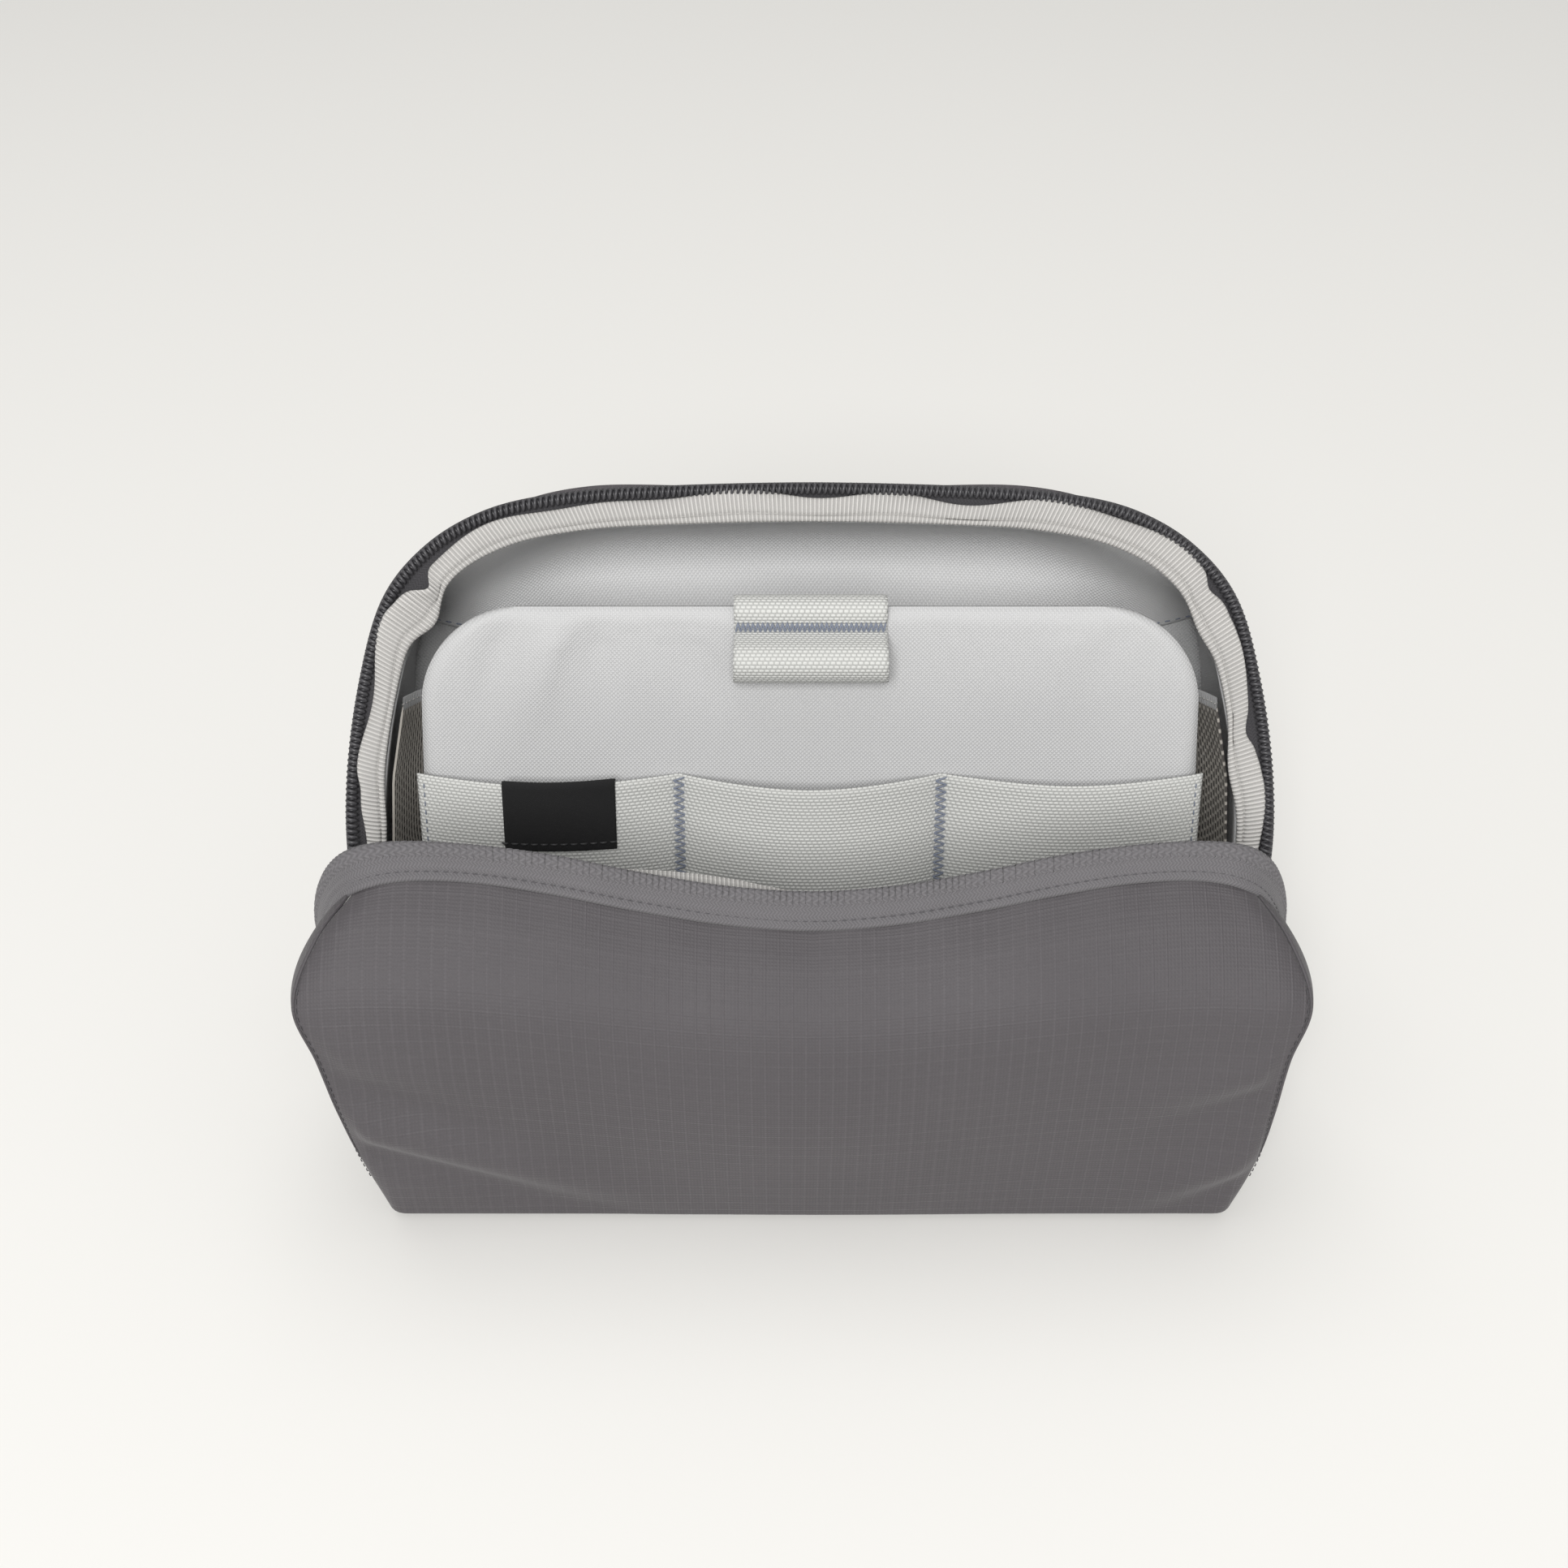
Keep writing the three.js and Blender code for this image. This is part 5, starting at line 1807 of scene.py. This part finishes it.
@dataclass
class Base:
    """The stiffened base with its lining, and the tabs at the ends of the zip."""

    corner: float = 14.0

    def outline(self, inset: float, count: int) -> np.ndarray:
        """Trace the base: a rectangle whose corners are quarter circles.

        Args:
            inset: Distance inside the base's edge.
            count: Number of points, a multiple of four.

        Returns:
            Layout points, in plan.
        """
        half_x, half_y = BASE_HALF_WIDTH - inset, BASE_DEPTH / 2 - inset
        radius = self.corner - inset
        turn = np.linspace(0, math.pi / 2, count // 4)
        arc_x = half_x - radius + radius * np.sin(turn)
        arc_y = half_y - radius + radius * np.cos(turn)
        x = np.concatenate([arc_x, arc_x[::-1], -arc_x, -arc_x[::-1]])
        y = np.concatenate([arc_y, -arc_y[::-1], -arc_y, arc_y[::-1]])
        return np.stack([x, y + BASE_DEPTH / 2], -1)

    def plate(self, name: str, inset: float, low: float, high: float) -> bpy.types.Object:
        """Make a flat layer from rings that shrink to the middle, above and below.

        Args:
            name: The piece's name.
            inset: Distance inside the base's edge.
            low: Height of its underside.
            high: Height of its top.

        Returns:
            The piece.
        """
        rings = []
        for share, height in (
            (0.12, low), (0.5, low), (0.9, low), (0.995, low), (1.0, (low + high) / 2), (0.995, high),
            (0.9, high), (0.5, high), (0.12, high),
        ):
            line = self.outline(inset, 240)
            flat = (line - [0, BASE_DEPTH / 2]) * share + [0, BASE_DEPTH / 2]
            rings.append(np.column_stack([flat, np.full(len(flat), height)]))
        points = np.stack(rings)
        count, sides = points.shape[:2]
        faces = quads(count, sides, wrap=True).tolist()
        faces.append(list(range(sides))[::-1])
        faces.append([(count - 1) * sides + k for k in range(sides)])
        flat = points.reshape(-1, 3)
        return make_mesh(name, flat, faces, flat[:, :2].copy())

    def build(self) -> None:
        """Make the base's pieces and dress the board."""
        under = self.plate("base_panel", 2.4, 0.0, 1.0)
        WARDROBE.dress(under, Finish.outer_ripstop)
        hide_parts("base_outer_panel")
        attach(under, "base")
        report(under)
        inside = self.plate("base_inner_lining", 1.6, 3.5, 4.3)
        WARDROBE.dress(inside, Finish.lining)
        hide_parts("base_lining")
        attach(inside, "base")
        WARDROBE.dress_node("base_stiffener_board", Finish.board)
        for side, word in ((-1, "left"), (1, "right")):
            u, v = grid(8, 10)
            surface = np.stack([
                side * (109.2 + 1.1 * np.sin(math.pi * u)), 40.5 + 13 * u, 9.5 + 11.0 * v,
            ], -1)
            tab = slab(f"zip_end_patch_{word}", surface, -0.4, 0.4, np.array([side, 0, 0]))
            WARDROBE.dress(tab, Finish.outer_ripstop)
            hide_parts(f"zip_end_tab_{word}")
            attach(tab, "base")


@dataclass
class Hardware:
    """The two zip sliders with their cloth pulls."""

    def build(self) -> None:
        """Make both sides."""
        for side, word in ((-1, "left"), (1, "right")):
            self.make_slider(side, word)
            self.make_pull(side, word)

    def make_slider(self, side: int, word: str) -> None:
        """Make a cast plate that narrows to its foot, with a raised bridge for the pull.

        Args:
            side: -1 at the left, 1 at the right.
            word: The side's word in piece names.
        """
        low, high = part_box(f"zip_slider_{word}")
        middle = (np.array(low) + np.array(high)) / 2 / MM
        size = (np.array(high) - np.array(low)) / MM
        angle = np.linspace(0, 2 * math.pi, 40, endpoint=False)
        levels = np.array([0.0, 0.12, 0.5, 0.88, 1.0])
        swell = np.array([0.78, 1.0, 1.0, 1.0, 0.78])
        c, s = np.cos(angle), np.sin(angle)
        width = size[1] / 2 * np.sign(c) * np.abs(c) ** 0.55 * (0.8 + 0.2 * s)
        tall = size[2] / 2 * np.sign(s) * np.abs(s) ** 0.55
        rings = np.stack([
            np.stack([
                np.full_like(angle, side * (abs(middle[0]) + (level - 0.5) * size[0])),
                middle[1] - BASE_FRONT / MM + width * grow,
                middle[2] + tall * grow,
            ], -1)
            for level, grow in zip(levels, swell)
        ])
        body = sweep(f"slider_plate_{word}", rings)
        WARDROBE.dress(body, Finish.slider)
        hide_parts(f"zip_slider_{word}")
        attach(body, f"slider_{word}")
        report(body)
        t = np.linspace(0, math.pi, 24)
        top = side * (abs(middle[0]) + size[0] / 2)
        arch = np.stack([
            top + side * 1.9 * np.sin(t) - side * 0.4, np.full_like(t, middle[1] - BASE_FRONT / MM),
            middle[2] + 3.0 * np.cos(t),
        ], -1)
        bridge = tube(f"slider_bridge_{word}", arch, 0.7, 10)
        WARDROBE.dress(bridge, Finish.slider)
        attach(bridge, f"slider_{word}")

    def make_pull(self, side: int, word: str) -> None:
        """Make a folded tape pull with rounded ends and a stitched head.

        Args:
            side: -1 at the left, 1 at the right.
            word: The side's word in piece names.
        """
        low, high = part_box(f"zip_pull_{word}")
        low, high = np.array(low) / MM, np.array(high) / MM
        depth = (low[1] + high[1]) / 2 - BASE_FRONT / MM
        half = (high[1] - low[1]) / 2
        u, v = grid(12, 40)
        height = low[2] + 0.4 + (high[2] - low[2] - 0.4) * v
        end = np.sqrt(np.clip(1 - (1 - np.clip(v / 0.1, 0, 1)) ** 2, 0.15, 1))
        head = 1 - 0.35 * smooth(v, 0.86, 1.0)
        surface = np.stack([
            np.full_like(u, (low[0] + high[0]) / 2), depth + (2 * u - 1) * half * end * head, height,
        ], -1)
        pull = slab(f"pull_tape_{word}", surface, -0.7, 0.7, np.array([side, 0, 0]))
        WARDROBE.dress(pull, Finish.zip_tape)
        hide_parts(f"zip_pull_{word}")
        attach(pull, f"pull_{word}")
        x = (low[0] + high[0]) / 2 + side * 0.78
        line = np.linspace(-0.75, 0.75, 20) * half
        path = np.stack([np.full(20, x), depth + line, np.full(20, high[2] - 5.0)], -1)
        row = seam_row(f"pull_stitching_{word}", path, np.tile([side, 0.0, 0.0], (20, 1)), 1.6, 0.7, 0.18)
        WARDROBE.dress(row, Stitch.seam)
        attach(row, f"pull_{word}")


# ---- studio ---------------------------------------------------------------------------------


@dataclass
class Studio:
    """Pale floor, soft light from above and a camera above the front."""

    lens: float = 44.7
    depression: float = 38.0
    distance: float = 0.3168
    camera_height: float = 0.3857
    sideways: float = -0.0065

    def build(self) -> None:
        """Make the camera, the lights and the floor."""
        self.make_camera()
        self.make_light()
        self.make_floor()

    def make_camera(self) -> None:
        """Camera in front of the base, looking down along +Y."""
        data = bpy.data.cameras.new("camera")
        data.lens = self.lens
        data.sensor_width = 36.0
        data.clip_start = 0.01
        camera = bpy.data.objects.new("camera", data)
        camera.location = (self.sideways, BASE_FRONT - self.distance, self.camera_height)
        camera.rotation_euler = (math.radians(90 - self.depression), 0, 0)
        bpy.context.scene.collection.objects.link(camera)
        bpy.context.scene.camera = camera

    def make_light(self) -> None:
        """A broad overhead light, a fill from the front and an even surround."""
        world = bpy.data.worlds.new("surround")
        world.use_nodes = True
        world.node_tree.nodes["Background"].inputs[0].default_value = (1.0, 0.992, 0.975, 1)
        world.node_tree.nodes["Background"].inputs[1].default_value = 0.42
        bpy.context.scene.world = world
        for name, place, aim, size, power in (
            ("overhead", (-0.2, 0.4, 2.6), (0, 0, 0.05), 2.0, 15.5),
            ("front_softbox", (-0.3, -2.75, 2.15), (0, 0, 0.09), 1.5, 108.0),
        ):
            data = bpy.data.lights.new(name, "AREA")
            data.size = size
            data.energy = power
            data.color = (1.0, 0.995, 0.985)
            lamp = bpy.data.objects.new(name, data)
            lamp.location = place
            lamp.rotation_euler = direction_angles(np.array(aim) - np.array(place))
            bpy.context.scene.collection.objects.link(lamp)
        view = bpy.context.scene.view_settings
        view.view_transform = "Standard"
        view.look = "None"

    def make_floor(self) -> None:
        """A wide plain floor."""
        mesh = bpy.data.meshes.new("floor")
        half = 40.0
        corners = [(-half, -half, 0), (half, -half, 0), (half, half, 0), (-half, half, 0)]
        mesh.from_pydata(corners, [], [(0, 1, 2, 3)])
        floor = bpy.data.objects.new("floor", mesh)
        bpy.context.scene.collection.objects.link(floor)
        g = Graph("floor")
        mesh.materials.append(g.finish((0.83, 0.823, 0.80), 0.9, None, 0.0))


@dataclass(frozen=True)
class Cut:
    """What a sheet was cut to before it was sewn in, in metres, and how it is held."""

    width: float
    length: float
    area: float
    held: str = "stretched"
    rests_on: tuple = ()


def direction_angles(direction: np.ndarray) -> tuple[float, float, float]:
    """Euler angles that turn -Z to a direction."""
    x, y, z = direction / np.linalg.norm(direction)
    return (math.acos(-z), 0.0, math.atan2(y, x) - math.pi / 2)


def main() -> None:
    """Build the studio, then each sub-assembly in order."""
    Studio().build()
    Base().build()
    FrontWall().build()
    BackWall().build()
    Organizer().build()
    Hardware().build()
    WARDROBE.dress_node("back_foam_pad", Finish.foam)


if __name__ == "__main__":
    main()
